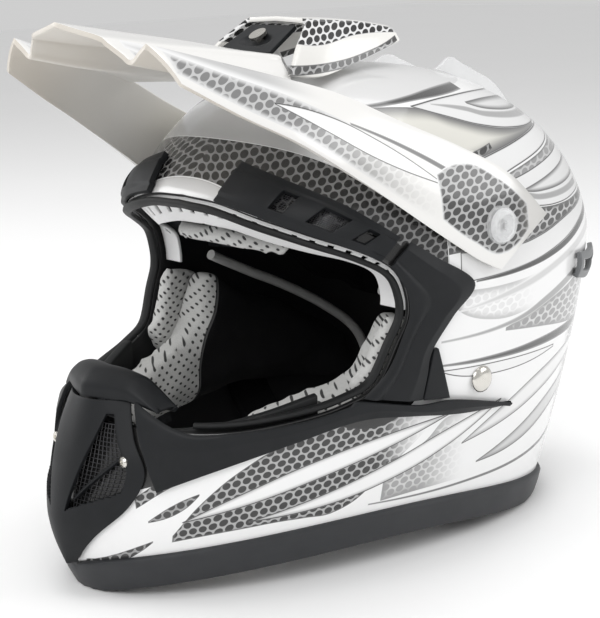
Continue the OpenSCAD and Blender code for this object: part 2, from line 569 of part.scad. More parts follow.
// Steel plates that turn on the rivets and carry the webbing
module strap_anchors() {
    color("silver") place() for (side = [0, 1]) mirror([side, 0, 0])
        translate([107.1, rivet_y, rivet_z]) rotate([0, 90, 0]) difference() {
            union() {
                cylinder(r = 9, h = 2);
                translate([0, -9, 0]) cube([17, 18, 2]);
            }
            translate([0, 0, -1]) cylinder(r = rivet_r + 0.06, h = 4);
        }
}
module strap_webbing() {
    color("#2a2b2d") place() band(0, 1, 0, webbing_t, webbing_w, 48);
}
module strap_sleeve() {
    color("#33353a") place() for (s = [0.1, 0.66]) difference() {
        band(s, s + 0.24, -2.2, webbing_t + 2.2, webbing_w + 8, 14);
        band(s - 0.01, s + 0.25, -0.15, webbing_t + 0.15, webbing_w + 0.6, 16);
    }
}
module d_rings() {
    color("silver") place() for (side = [-1, 1]) translate([side * 6 - 12, 2, 21 + side * 1.9])
        rotate([0, 4, 0]) difference() {
            linear_extrude(2.6) union() {
                circle(r = 17);
                translate([-17, -17]) square([17, 34]);
            }
            translate([0, 0, -1]) linear_extrude(5) union() {
                circle(r = 13.4);
                translate([-13.6, -13.4]) square([13.6, 26.8]);
            }
        }
}
module strap_snap() {
    color("firebrick") place() translate([58, 2, 30]) rotate([0, 38, 0]) cylinder(r = 7, h = 2.4);
}

outer_shell();
foam_crown();
foam_chin();
eyeport_gasket();
eyeport_rim();
brow_vent(true);  // brow_vent_left
brow_vent(false);  // brow_vent_right
brow_mesh(true);  // brow_mesh_left
brow_mesh(false);  // brow_mesh_right
side_trim(true);  // side_trim_left
side_trim(false);  // side_trim_right
hinge_trim(true);  // hinge_trim_left
hinge_trim(false);  // hinge_trim_right
chin_trim(true);  // chin_trim_left
chin_trim(false);  // chin_trim_right
mouthpiece();
nose_cap();
mouth_mesh(true);  // mouth_mesh_left
mouth_mesh(false);  // mouth_mesh_right
mouth_screws();
chin_lip();
neck_trim();
rear_vent(true);  // rear_vent_left
rear_vent(false);  // rear_vent_right
crown_fin();
crown_liner();
liner_piping();
brow_pad();
cheek_pad(true);  // cheek_pad_left
cheek_pad(false);  // cheek_pad_right
cheek_front(true);  // cheek_front_left
cheek_front(false);  // cheek_front_right
neck_roll();
pivot_bosses();
pivot_screw(true);  // pivot_screw_left
pivot_screw(false);  // pivot_screw_right
strap_rivets();
centre_post();
centre_screw();
peak_visor();
peak_scoop();
scoop_inlet();
peak_bushes();
strap_anchors();
strap_webbing();
strap_sleeve();
d_rings();
strap_snap();
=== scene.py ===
import math

import bmesh
import bpy
from mathutils import Matrix, Vector


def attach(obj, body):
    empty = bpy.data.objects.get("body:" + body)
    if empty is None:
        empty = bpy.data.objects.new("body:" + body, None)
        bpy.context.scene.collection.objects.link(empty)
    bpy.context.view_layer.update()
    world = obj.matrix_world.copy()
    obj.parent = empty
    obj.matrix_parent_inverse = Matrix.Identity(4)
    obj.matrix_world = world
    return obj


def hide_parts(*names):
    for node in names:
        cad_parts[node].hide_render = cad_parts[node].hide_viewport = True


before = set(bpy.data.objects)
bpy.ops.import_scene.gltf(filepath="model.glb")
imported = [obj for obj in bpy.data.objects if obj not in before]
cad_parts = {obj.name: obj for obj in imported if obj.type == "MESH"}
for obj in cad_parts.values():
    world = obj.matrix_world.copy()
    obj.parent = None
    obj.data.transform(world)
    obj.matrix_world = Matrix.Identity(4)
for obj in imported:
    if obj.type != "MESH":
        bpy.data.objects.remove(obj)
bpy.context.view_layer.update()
mm = 0.001
print("frame loaded")


# outer skin of the shell, in millimetres about the head's axis
skin = dict(
    halfWidth=128, baseTuck=30, topZ=284, wideZ=175, baseZ=10, archHeight=20,
    frontMid=160, frontSwing=50, chinZ=20, swingHeight=264, chinTuck=8, tuckZ=45,
    rearReach=173, rearTuck=41, crownLean=0.25, capPower=2.3, tuckPower=1.6, rearPower=1.2,
    wall=3.6, centreY=22.6,
)
# half outline of the face opening: angle from the front, level
eyeport = [(0, 217), (15, 215), (31, 207), (43, 199), (54, 190), (62, 179), (65, 164), (65, 150),
           (62, 136), (57, 114), (49, 105), (40, 100), (27, 96), (14, 97), (0, 100)]


def lerp(a, b, t):
    return a + (b - a) * t


def mix(p, q, t):
    return tuple(lerp(a, b, t) for a, b in zip(p, q))


def clamp(t):
    return min(1, max(0, t))


def rail(points, s):
    # smooth curve through points of any size, at s from 0 to 1
    last = len(points) - 1
    v = clamp(s) * last
    k = min(int(v), last - 1)
    t = v - k
    q, r = points[k], points[k + 1]
    p = points[k - 1] if k > 0 else mix(r, q, 2)
    u = points[k + 2] if k + 2 <= last else mix(q, r, 2)
    return tuple((2 * b + (c - a) * t + (2 * a - 5 * b + 4 * c - d) * t * t
                  + (3 * b - a - 3 * c + d) * t ** 3) / 2 for a, b, c, d in zip(p, q, r, u))


def below(z):
    return max(0, (skin["wideZ"] - z) / (skin["wideZ"] - skin["baseZ"]))


def crownCap(z):
    if z <= skin["wideZ"]:
        return 1
    rise = (z - skin["wideZ"]) / (skin["topZ"] - skin["wideZ"])
    return max(0, 1 - rise ** skin["capPower"]) ** (1 / skin["capPower"])


def skinWidth(z):
    return (skin["halfWidth"] - skin["baseTuck"] * below(z) ** skin["tuckPower"]) * crownCap(z)


def skinFront(z):
    swing = math.cos(math.pi * max(0, z - skin["chinZ"]) / skin["swingHeight"])
    tuck = max(0, (skin["tuckZ"] - z) / (skin["tuckZ"] - skin["baseZ"])) ** 1.5
    return (skin["frontMid"] + skin["frontSwing"] * swing - skin["chinTuck"] * tuck) * crownCap(z)


def skinRear(z):
    reach = skin["rearReach"] - skin["rearTuck"] * below(z) ** skin["rearPower"]
    return (reach - skin["crownLean"] * max(0, z - skin["wideZ"])) * crownCap(z)


def levelPower(y, z):
    rise = 0.3 * (z - skin["baseZ"]) / (skin["topZ"] - skin["baseZ"])
    return 1.9 + rise if y < 0 else 2.5 - rise


def skinRatio(x, y, z):
    n = levelPower(y, z)
    reach = skinFront(z) if y < 0 else skinRear(z)
    return ((abs(x) / max(skinWidth(z), 0.01)) ** n + (abs(y) / max(reach, 0.01)) ** n) ** (1 / n)


def onSkin(p, d=0):
    # p pushed out or in to the skin at its own level, then d off it along the normal
    x, y, z = p
    k = 1 / max(skinRatio(x, y, z), 1e-6)
    x, y, h = x * k, y * k, 0.5
    normal = Vector((skinRatio(x + h, y, z) - skinRatio(x - h, y, z),
                     skinRatio(x, y + h, z) - skinRatio(x, y - h, z),
                     skinRatio(x, y, z + h) - skinRatio(x, y, z - h))).normalized()
    return (x + normal.x * d, y + normal.y * d, z + normal.z * d)


def atAngle(a, z, d=0):
    a = math.radians(a)
    return onSkin((100 * math.sin(a), -100 * math.cos(a), z), d)


def inPlace(p):
    # millimetres about the head's axis to metres in the frame
    return Vector((p[0], p[1] + skin["centreY"], p[2])) * mm


def arch(a):
    return 0 if a >= 150 else skin["archHeight"] * math.sin(math.pi * (a / 150) ** 0.7)


def eyePoint(s, grow=0):
    # the opening's half outline at s, moved outward by grow
    p = rail(eyeport, s)
    q, r = rail(eyeport, max(0, s - 0.01)), rail(eyeport, min(1, s + 0.01))
    tx, tz = (r[0] - q[0]) * 2.1, r[1] - q[1]
    size = math.hypot(tx, tz)
    return (p[0] + max(-p[0], -tz / size * grow / 2.1), p[1] + tx / size * grow)


def eyeLoop(u, grow=0):
    if u <= 0.5:
        return eyePoint(u * 2, grow)
    p = eyePoint(2 - u * 2, grow)
    return (-p[0], p[1])


def eyeEdge(k, grow=0):
    p = eyePoint(k / (len(eyeport) - 1), grow)
    return atAngle(p[0], p[1])


class Value:
    # one socket that takes part in Python expressions
    def __init__(self, tree, socket):
        self.tree = tree
        self.socket = socket

    def maths(self, operation, *terms):
        node = self.tree.nodes.new("ShaderNodeMath")
        node.operation = operation
        for slot, term in zip(node.inputs, terms):
            feed(self.tree, slot, term)
        return Value(self.tree, node.outputs[0])

    def __add__(self, other):
        return self.maths("ADD", self, other)

    def __sub__(self, other):
        return self.maths("SUBTRACT", self, other)

    def __mul__(self, other):
        return self.maths("MULTIPLY", self, other)

    def __truediv__(self, other):
        return self.maths("DIVIDE", self, other)

    def __rsub__(self, other):
        return self.maths("SUBTRACT", other, self)

    def __rtruediv__(self, other):
        return self.maths("DIVIDE", other, self)

    def __abs__(self):
        return self.maths("ABSOLUTE", self)

    __radd__ = __add__
    __rmul__ = __mul__


def feed(tree, slot, term):
    # a link from a Value, or a fixed number, colour or vector
    if isinstance(term, Value):
        tree.links.new(term.socket, slot)
    elif isinstance(term, (tuple, list)) and len(term) == 3 and slot.type == "RGBA":
        slot.default_value = (*term, 1)
    else:
        slot.default_value = term


class Finish:
    # one material: node() adds any node, the rest are its common uses
    def __init__(self, name):
        self.material = bpy.data.materials.new(name)
        self.material.use_nodes = True
        self.tree = self.material.node_tree
        self.tree.nodes.clear()

    def node(self, kind, settings=None, output=0, **terms):
        made = self.tree.nodes.new("ShaderNode" + kind)
        for key, setting in (settings or {}).items():
            setattr(made, key, setting)
        for key, term in terms.items():
            feed(self.tree, made.inputs[key.replace("_", " ")], term)
        return Value(self.tree, made.outputs[output])

    def place(self):
        return self.node("TexCoord", output="Object")

    def split(self, vector):
        made = self.tree.nodes.new("ShaderNodeSeparateXYZ")
        feed(self.tree, made.inputs[0], vector)
        return [Value(self.tree, made.outputs[i]) for i in range(3)]

    def noise(self, scale, detail=2, vector=None, rough=0.5):
        return self.node("TexNoise", Vector=vector or self.place(), Scale=scale, Detail=detail,
                         Roughness=rough)

    def ramp(self, term, low, high, smooth=True):
        # 0 at low, 1 at high
        kind = {"interpolation_type": "SMOOTHSTEP"} if smooth else {"interpolation_type": "LINEAR"}
        return self.node("MapRange", kind, Value=term, From_Min=low, From_Max=high)

    def less(self, term, limit, blur=0.25):
        # 1 where term is below limit
        return self.ramp(term - limit, blur, -blur)

    def least(self, *terms):
        first = terms[0]
        for other in terms[1:]:
            first = first.maths("MINIMUM", first, other)
        return first

    def blend(self, mask, under, over):
        made = self.tree.nodes.new("ShaderNodeMix")
        made.data_type = "RGBA"
        feed(self.tree, made.inputs[0], mask)
        feed(self.tree, made.inputs[6], under)
        feed(self.tree, made.inputs[7], over)
        return Value(self.tree, made.outputs[2])

    def bump(self, height, distance, strength=1.0, normal=None):
        terms = dict(Height=height, Distance=distance, Strength=strength)
        if normal:
            terms["Normal"] = normal
        return self.node("Bump", **terms)

    def curve(self, term, points, span, straight=False):
        # value of a curve drawn through points, both ways over span
        low, high, bottom, top = span
        made = self.tree.nodes.new("ShaderNodeFloatCurve")
        line = made.mapping.curves[0]
        spots = [((a - low) / (high - low), (b - bottom) / (top - bottom)) for a, b in points]
        while len(line.points) < len(spots):
            line.points.new(0.5, 0.5)
        for spot, (a, b) in zip(line.points, spots):
            spot.location = (a, b)
            spot.handle_type = "VECTOR" if straight else "AUTO"
        made.mapping.update()
        feed(self.tree, made.inputs["Value"], (term - low) / (high - low))
        return Value(self.tree, made.outputs[0]) * (top - bottom) + bottom

    def band(self, along, up, top, bottom):
        # distance inside the shape between two drawn curves that share their ends, in millimetres
        ends = (top[0][0], top[-1][0])
        levels = [b for a, b in top + bottom]
        span = (*ends, min(levels) - 3, max(levels) + 3)
        upper, lower = self.curve(along, top, span), self.curve(along, bottom, span)
        return self.least(upper - up, up - lower, along - ends[0], ends[1] - along)

    def ovals(self, along, up, wide, tall, slant=0.15):
        # staggered ovals, as 1 inside each
        across, over = along / wide, (up - along * slant) / tall

        def row(shift):
            a = (across + shift).maths("FRACT", across + shift) - 0.5
            b = (over + shift).maths("FRACT", over + shift) - 0.5
            return a * a / 0.17 + b * b / 0.055
        return self.less(self.least(row(0.0), row(0.5)), 1, 0.12)

    def done(self, **terms):
        # terms name the sockets of the closing shader
        shader = self.tree.nodes.new("ShaderNodeBsdfPrincipled")
        for key, term in terms.items():
            feed(self.tree, shader.inputs[key.replace("_", " ")], term)
        output = self.tree.nodes.new("ShaderNodeOutputMaterial")
        self.tree.links.new(shader.outputs[0], output.inputs[0])
        return self.material


def floorFinish():
    f = Finish("floorPaint")
    tint = f.blend(f.noise(3.0), (0.95, 0.95, 0.95), (0.97, 0.97, 0.97))
    return f.done(Base_Color=tint, Roughness=0.85)


def grained(name, dark, light, scale, rough, height, coat=0.0, **terms):
    # a moulded or woven surface: two tints over noise, with fine bump
    f = Finish(name)
    tint = f.blend(f.noise(scale / 8, 3), dark, light)
    wear = f.ramp(f.noise(scale / 20, 4), 0.35, 0.75)
    normal = f.bump(f.noise(scale, 3), height * mm)
    return f.done(Base_Color=tint, Roughness=rough + wear * 0.08, Normal=normal, Coat_Weight=coat, **terms)


def once(maker):
    # each finish is built at its first use and then shared
    made = {}

    def get():
        if "material" not in made:
            made["material"] = maker()
        return made["material"]
    return get


@once
def blackPlastic():
    return grained("blackMoulding", (0.009, 0.01, 0.011), (0.014, 0.015, 0.017), 900, 0.46, 0.05,
                   Specular_IOR_Level=0.22)


@once
def rubberFinish():
    return grained("sealRubber", (0.006, 0.0065, 0.007), (0.011, 0.0115, 0.012), 600, 0.55, 0.06,
                   Specular_IOR_Level=0.3)


@once
def edgeRubber():
    return grained("edgeRubber", (0.024, 0.025, 0.028), (0.034, 0.036, 0.039), 700, 0.45, 0.05,
                   Specular_IOR_Level=0.35)


@once
def whitePlastic():
    return grained("whiteMoulding", (0.78, 0.78, 0.78), (0.84, 0.84, 0.84), 500, 0.35, 0.02)


@once
def greyPlastic():
    return grained("greyMoulding", (0.12, 0.125, 0.13), (0.17, 0.175, 0.18), 500, 0.35, 0.03)


@once
def meshFinish():
    return grained("ventMesh", (0.05, 0.05, 0.055), (0.1, 0.1, 0.105), 800, 0.4, 0.02)


@once
def steelFinish():
    f = Finish("polishedSteel")
    rough = 0.16 + f.ramp(f.noise(250, 4), 0.4, 0.8) * 0.15
    tint = f.blend(f.noise(40), (0.62, 0.6, 0.55), (0.74, 0.72, 0.68))
    return f.done(Base_Color=tint, Metallic=1.0, Roughness=rough)


@once
def snapFinish():
    return grained("snapButton", (0.4, 0.02, 0.02), (0.5, 0.03, 0.03), 400, 0.3, 0.02)


@once
def clearPlastic():
    f = Finish("clearMoulding")
    tint = f.blend(f.noise(60), (0.86, 0.87, 0.88), (0.95, 0.95, 0.95))
    rough = 0.08 + f.ramp(f.noise(120, 3), 0.4, 0.8) * 0.08
    return f.done(Base_Color=tint, Roughness=rough, Alpha=0.35 + f.noise(30) * 0.1)


@once
def foamFinish():
    f = Finish("impactFoam")
    beads = f.node("TexVoronoi", Vector=f.place(), Scale=260)
    tint = f.blend(f.ramp(beads, 0.1, 0.6), (0.028, 0.03, 0.033), (0.05, 0.053, 0.058))
    return f.done(Base_Color=tint, Roughness=0.8, Normal=f.bump(beads, 0.4 * mm))


@once
def linerFabric():
    f = Finish("brushedLining")
    fuzz = f.noise(900, 4)
    tint = f.blend(f.noise(70, 3), (0.004, 0.004, 0.0045), (0.009, 0.009, 0.01))
    return f.done(Base_Color=tint, Roughness=0.95, Normal=f.bump(fuzz, 0.5 * mm), Specular_IOR_Level=0.2)


def sideView(f):
    # millimetres behind the head's axis, and level
    y, z = f.split(f.place())[1:]
    return y * 1000 - skin["centreY"], z * 1000


def holesIn(f, pitch, size):
    # staggered round holes seen from the side: 1 inside a hole
    x, y, z = f.split(f.place())
    sway = f.noise(45, 1) * 0.5
    across, up = (y + x * 0.6) / (pitch * mm) + sway, (z + x * 0.25) / (pitch * 0.9 * mm) + sway

    def row(shift):
        a = (across + shift).maths("FRACT", across + shift) - 0.5
        b = (up + shift).maths("FRACT", up + shift) - 0.5
        return (a * a * 0.55 + b * b).maths("SQRT", a * a * 0.55 + b * b)
    return f.less(f.least(row(0.0), row(0.5)), size, 0.03)


def punchedCloth(f):
    # the holes, and light cloth with dark holes: painted shade inside the holes
    hole = holesIn(f, 6.4, 0.125)
    cloth = f.blend(f.noise(500, 3), (0.5, 0.5, 0.49), (0.62, 0.62, 0.605))
    return hole, f.blend(hole, cloth, (0.05, 0.05, 0.05))


@once
def perforatedFabric():
    f = Finish("perforatedCloth")
    hole, tint = punchedCloth(f)
    normal = f.bump(f.noise(1400, 2), 0.15 * mm, normal=f.bump(1 - hole, 0.8 * mm))
    return f.done(Base_Color=tint, Roughness=0.9, Normal=normal, Sheen_Weight=0.15)


@once
def cheekFabric():
    # light perforated cloth on the pad's front, black brushed cloth behind a seam
    f = Finish("cheekCloth")
    forward, level = sideView(f)
    limit = f.curve(level, [(40, -88), (70, -72), (95, -66), (125, -44), (160, -30)], (30, 170, -120, 0))
    front = f.less(forward - limit, 0, 0.6)
    seam = f.less(abs(forward - limit), 0.9, 0.4)
    light = punchedCloth(f)[1]
    dark = f.blend(f.noise(70, 3), (0.004, 0.004, 0.0045), (0.009, 0.009, 0.01))
    tint = f.blend(seam, f.blend(front, dark, light), (0.1, 0.1, 0.1))
    normal = f.bump(f.noise(1100, 3), 0.3 * mm, normal=f.bump(1 - seam, 1.2 * mm))
    return f.done(Base_Color=tint, Roughness=0.92, Normal=normal, Specular_IOR_Level=0.25)


@once
def webbingFinish():
    f = Finish("wovenWebbing")
    weave = f.node("TexWave", {"wave_type": "BANDS", "bands_direction": "Y"}, Vector=f.place(), Scale=140,
                   Distortion=2.0, Detail=2)
    tint = f.blend(weave, (0.01, 0.01, 0.011), (0.035, 0.035, 0.038))
    return f.done(Base_Color=tint, Roughness=0.8, Normal=f.bump(weave, 0.5 * mm))


@once
def bindingCloth():
    return grained("bindingCloth", (0.46, 0.46, 0.45), (0.58, 0.58, 0.565), 900, 0.9, 0.2)


@once
def peakInside():
    # the wings' inner face, left unprinted
    f = Finish("peakInside")
    # painted shade: darker and warmer towards the front, under the peak
    frontShade = f.ramp(f.split(f.place())[1] * 1000, -60, -170)
    tint = f.blend(frontShade, (0.66, 0.65, 0.63), (0.56, 0.49, 0.4))
    return f.done(Base_Color=f.blend(f.noise(14), tint, (0.7, 0.68, 0.64)), Roughness=0.35)


@once
def innerShell():
    return grained("shellInside", (0.012, 0.012, 0.013), (0.02, 0.02, 0.021), 300, 0.6, 0.05)


# The painted shapes lie between two curves drawn in side view: (distance behind the head's axis, level).
# fill and rim are the colours inside and at the edge, soft is how far the edge colour reaches in,
# cells is the colour of ovals laid over the fill, fade the two places between which the shape dies away
shellPrintAndShade = [
    dict(top=[(-120, 262), (-90, 262), (-60, 266)], bottom=[(-120, 200), (-90, 224), (-60, 258)], fill=0.42,
         rim=0.7, soft=14),
    dict(top=[(-70, 292), (20, 292), (130, 292)], bottom=[(-70, 261), (-9, 267), (130, 276)], fill=0.66,
         rim=0.66),
    dict(top=[(-60, 263.5), (-30, 266.2), (-9, 268.5), (16, 271), (40, 272)],
         bottom=[(-60, 262), (-30, 264), (-9, 265.5), (16, 266.5), (40, 268)], fill=0.05, rim=0.3, soft=1),
    dict(top=[(-60, 262), (-15, 262.5), (4, 256), (28, 249), (56, 245), (92, 245)],
         bottom=[(-60, 222), (-29, 227), (6, 232), (32, 236), (70, 241), (92, 243)],
         fill=(0.68, 0.67, 0.62),
         rim=0.16, soft=8, line=0.12),
    dict(top=[(-62, 258), (-30, 252), (-8, 244), (8, 237)],
         bottom=[(-62, 232), (-30, 232), (-8, 233), (8, 236)],
         fill=(0.66, 0.65, 0.6), rim=(0.68, 0.67, 0.62), soft=3, cells=0.36, fade=(-10, 8)),
    dict(top=[(-62, 229), (-29, 232), (6, 236.5), (24, 240)],
         bottom=[(-62, 224), (-29, 227.5), (6, 232), (24, 237)], fill=0.3, rim=0.1, soft=1, cells=0.03),
    dict(top=[(-52, 225), (-29, 227.5), (6, 232), (32, 236), (70, 241), (110, 244)],
         bottom=[(-52, 211), (-21, 215), (5, 218), (39, 225), (81, 232), (110, 237)], fill=0.76, rim=0.35,
         soft=1.4, line=0.05),
    dict(top=[(-42, 212), (5, 217.5), (39, 224), (81, 231), (110, 236)],
         bottom=[(-42, 206), (3, 214), (36, 218.5), (89, 226), (110, 229)], fill=0.5, rim=0.12, soft=1.5,
         cells=0.28),
    dict(top=[(-50, 210), (3, 214), (17, 208.5), (49, 200.5), (80, 198.5), (110, 200), (135, 203)],
         bottom=[(-50, 182), (3, 184), (31, 182), (49, 184), (80, 190), (110, 195), (135, 201)], fill=0.5,
         rim=0.1, soft=3, cells=0.08),
    dict(top=[(3, 215.2), (36, 219.5), (89, 227), (130, 231)],
         bottom=[(3, 214.6), (17, 209), (49, 201), (80, 199), (107, 201), (130, 204)], fill=0.76, rim=0.5,
         soft=1.2, line=0.06),
    dict(top=[(20, 214.6), (40, 210.5), (60, 207), (115, 209)],
         bottom=[(20, 214), (40, 207.5), (60, 203.5), (115, 205)], fill=0.36, rim=0.5, soft=0.8),
    dict(top=[(39, 211.8), (60, 215), (120, 224)], bottom=[(39, 210.8), (58, 208.5), (120, 212)], fill=0.72,
         rim=0.12, soft=3),
    dict(top=[(-15, 263.4), (18, 266), (60, 266), (100, 262)],
         bottom=[(-15, 262.8), (4, 256), (28, 249), (56, 245), (100, 244)], fill=0.74, rim=0.45, soft=1.5,
         line=0.06),
    dict(top=[(0, 263.4), (22, 260.5), (40, 256), (100, 252)],
         bottom=[(0, 262.8), (22, 257.5), (40, 252.5), (100, 248)], fill=0.36, rim=0.5, soft=0.8),
    dict(top=[(29, 262), (60, 262), (100, 258)], bottom=[(29, 261), (48, 256), (100, 253)], fill=0.7,
         rim=0.1, soft=3),
    dict(top=[(-20, 184), (31, 182), (49, 184), (80, 190), (110, 195), (150, 205)],
         bottom=[(-20, 166), (31, 168), (68, 174), (110, 186), (150, 199)], fill=0.76, rim=0.45, soft=1.4,
         line=0.06),
    dict(top=[(-8, 166), (31, 168.6), (68, 174), (110, 186), (150, 199)],
         bottom=[(-8, 165), (31, 165.5), (68, 170), (110, 181), (150, 194)], fill=0.04, rim=0.2, soft=0.8),
    dict(top=[(-30, 163), (20, 160), (60, 164), (150, 188)],
         bottom=[(-30, 162), (10, 140), (50, 142), (150, 168)],
         fill=0.86, rim=0.5, soft=5, cells=0.74, fade=(50, 20)),
    dict(top=[(-20, 150), (30, 158), (75, 168), (140, 186)],
         bottom=[(-20, 149), (30, 153), (75, 162), (140, 178)], fill=0.6, rim=0.8, soft=1.6),
    dict(top=[(20, 133), (54, 140), (99, 150), (150, 166)],
         bottom=[(20, 131), (54, 127), (99, 121), (150, 118)], fill=0.62, rim=0.3, soft=4, cells=0.3),
    dict(top=[(-32, 134), (25, 137), (60, 146), (120, 164)],
         bottom=[(-32, 132.6), (25, 134), (60, 141), (120, 158)], fill=0.35, rim=0.6, soft=1),
    dict(top=[(-32, 119.6), (20, 118), (60, 119.5), (130, 123)],
         bottom=[(-32, 118.4), (20, 114.5), (60, 114), (130, 116)], fill=0.08, rim=0.3, soft=1.4),
    dict(top=[(90, 112), (112, 118), (150, 120)], bottom=[(90, 60), (112, 40), (150, 30)], fill=0.6,
         rim=0.4, soft=4, cells=0.3, fade=(92, 106)),
    dict(top=[(-31, 116), (8, 113.5), (76, 111)], bottom=[(-31, 115), (20, 105.5), (76, 109)], fill=0.82,
         rim=0.5, soft=1.2, line=0.06),
    dict(top=[(-62, 66), (-39, 72), (-16, 86), (6, 66), (14, 46)],
         bottom=[(-62, 41), (-39, 42), (-16, 42), (6, 42), (14, 43)],
         fill=0.6, rim=0.3, soft=6, cells=0.34, fade=(2, -40)),
    dict(top=[(-176, 38), (-159, 61), (-140, 77), (-126, 85), (-110, 90), (-93, 96), (-60, 98), (-30, 92)],
         bottom=[(-176, 34), (-159, 37), (-140, 39), (-126, 40), (-110, 40), (-93, 40), (-60, 62),
                 (-30, 86)], fill=0.4, rim=0.1, soft=1.5, cells=0.025, fade=(-34, -70)),
    dict(top=[(-172, 46), (-140, 62), (-100, 76), (-60, 84), (-20, 88)],
         bottom=[(-172, 45.4), (-140, 53), (-100, 64), (-60, 75), (-20, 87)], fill=0.86, rim=0.4, soft=3,
         line=0.03),
    dict(top=[(-140, 43), (-100, 53), (-60, 65), (-20, 78), (24, 88)],
         bottom=[(-140, 42.4), (-100, 45), (-60, 53), (-20, 66), (24, 87)], fill=0.86, rim=0.4, soft=3,
         line=0.03),
    dict(top=[(-190, 60), (-166, 78), (-140, 86), (-112, 91)],
         bottom=[(-190, 54), (-166, 72), (-140, 82), (-112, 88)],
         fill=0.4, rim=0.08, soft=0.8, cells=0.025),
    dict(top=[(-6, 66), (30, 84), (66, 98), (130, 112)], bottom=[(-6, 65), (30, 72), (66, 83), (130, 106)],
         fill=0.8, rim=0.4, soft=4, line=0.08),
    dict(top=[(10, 50), (44, 62), (80, 78), (130, 98)], bottom=[(10, 49), (44, 52), (80, 64), (130, 92)],
         fill=0.6, rim=0.25, soft=4, line=0.08),
    dict(top=[(-70, 41), (0, 39.2), (56, 41), (100, 50)],
         bottom=[(-70, 40), (0, 37.4), (56, 38.6), (100, 46)], fill=0.15, rim=0.4, soft=0.6),
    dict(top=[(-186, 47), (-174, 57), (-164, 62)], bottom=[(-186, 46), (-174, 51), (-164, 61)], fill=0.3,
         rim=0.05, soft=0.8, cells=0.04),
    dict(top=[(-204, 20), (-196, 27), (-184, 35)], bottom=[(-204, 14), (-196, 20), (-184, 34)], fill=0.3,
         rim=0.05, soft=0.8, cells=0.04),
    dict(top=[(-112, 252), (-90, 246), (-70, 232), (-50, 214), (-28, 198)],
         bottom=[(-112, 200), (-90, 200), (-70, 190), (-50, 176), (-28, 176)], fill=0.2, rim=0.05, soft=1,
         cells=0.012, line=0.7),
    # plain black under the side trims and the chin trims: painted shade, dark in the gaps at their edges
    dict(top=[(-108, 214), (-53, 190), (-40, 181), (-17, 167)],
         bottom=[(-108, 99), (-47, 101), (-41, 131), (-17, 164)], fill=0.012, rim=0.012),
    dict(top=[(-210, 116), (-120, 112), (-60, 108), (-50, 100)],
         bottom=[(-210, 55), (-155, 77), (-81, 98), (-50, 98)], fill=0.012, rim=0.012),
]
# half width of the painted shade behind the mouthpiece, black on the shell: level, half width
mouthShade = [(17, 1), (36, 18), (55, 36), (74, 42), (93, 38), (114, 40)]


cellWrap, cellSway = 800, 5  # how fast the cells move on across the front, and how far they wander


def layered(f, graphics, under, along, up, wide, tall):
    # paints each shape over the last; the cells follow the arc round the front and sway a little
    around = abs(f.split(f.place())[0]) * cellWrap
    sway = f.noise(28, 1) * cellSway
    oval = f.ovals(along + around + sway, up + sway, wide, tall)
    tint = f.blend(f.noise(6), *under)
    for shape in graphics:
        colours = {key: (shape[key],) * 3 if isinstance(shape[key], float) else shape[key]
                   for key in ("fill", "rim", "cells", "line") if key in shape}
        inside = f.band(along, up, shape["top"], shape["bottom"])
        shade = f.blend(oval, colours["fill"], colours["cells"]) if "cells" in shape else colours["fill"]
        shade = f.blend(f.ramp(inside, 0, shape.get("soft", 0.5)), colours["rim"], shade)
        if "line" in shape:
            shade = f.blend(f.less(abs(inside - 0.35), 0.3, 0.15), shade, colours["line"])
        mask = f.ramp(inside, -0.2, 0.2)
        if "fade" in shape:
            mask = mask * f.ramp(along, *shape["fade"])
        tint = f.blend(mask, tint, shade)
    return tint


@once
def shellPaintAndShade():
    f = Finish("shellPaintAndShade")
    along, up = sideView(f)
    tint = layered(f, shellPrintAndShade, ((0.84, 0.84, 0.84), (0.87, 0.87, 0.87)), along, up, 7.2, 8.6)
    x = f.split(f.place())[0]
    # painted shade: the shell is black behind the mouthpiece, for the dark seen through its vents
    shadeBehind = f.less(abs(x) * 1000 - f.curve(up, mouthShade, (10, 120, 0, 50)), 0, 0.6)
    shadeBehind = shadeBehind * f.less(along, -120, 1) * f.ramp(up, 18, 19) * f.less(up, 118, 1)
    tint = f.blend(shadeBehind, tint, (0.012, 0.012, 0.012))
    return f.done(Base_Color=tint, Roughness=0.24, Coat_Weight=0.5, Coat_Roughness=0.06)


peakGraphics = [
    dict(top=[(-178, 305), (-148, 292), (-118, 279), (-78, 258), (-40, 236), (-10, 214)],
         bottom=[(-178, 294), (-148, 275), (-118, 258), (-78, 231), (-40, 205), (-10, 190)], fill=0.5,
         rim=0.7, soft=4, cells=0.2, fade=(-30, -110)),
    dict(top=[(-180, 310), (-130, 296), (-70, 270)], bottom=[(-180, 306), (-130, 284), (-70, 262)],
         fill=0.5, rim=0.8, soft=5, fade=(-90, -130)),
    dict(top=[(-128, 276), (-100, 268), (-70, 252), (-34, 226)],
         bottom=[(-128, 275), (-100, 258), (-70, 240), (-34, 224)],
         fill=0.85, rim=0.5, soft=1.5, line=0.05),
    dict(top=[(-84, 262), (-50, 246), (-14, 224)], bottom=[(-84, 260.6), (-50, 243), (-14, 220)], fill=0.12,
         rim=0.4, soft=0.8),
    dict(top=[(-36, 230), (-14, 234), (8, 224), (30, 206)],
         bottom=[(-36, 205), (-14, 189), (6, 180), (30, 192)], fill=0.42, rim=0.75, soft=2, cells=0.06),
]


@once
def peakFinish():
    f = Finish("peakPaint")
    along, up = sideView(f)
    tint = layered(f, peakGraphics, ((0.74, 0.73, 0.71), (0.84, 0.835, 0.82)), along, up, 7.6, 8.8)
    clear = f.ramp(along, 14, 30) * 0.35
    return f.done(Base_Color=tint, Roughness=0.22, Alpha=1 - clear, Coat_Weight=0.3)


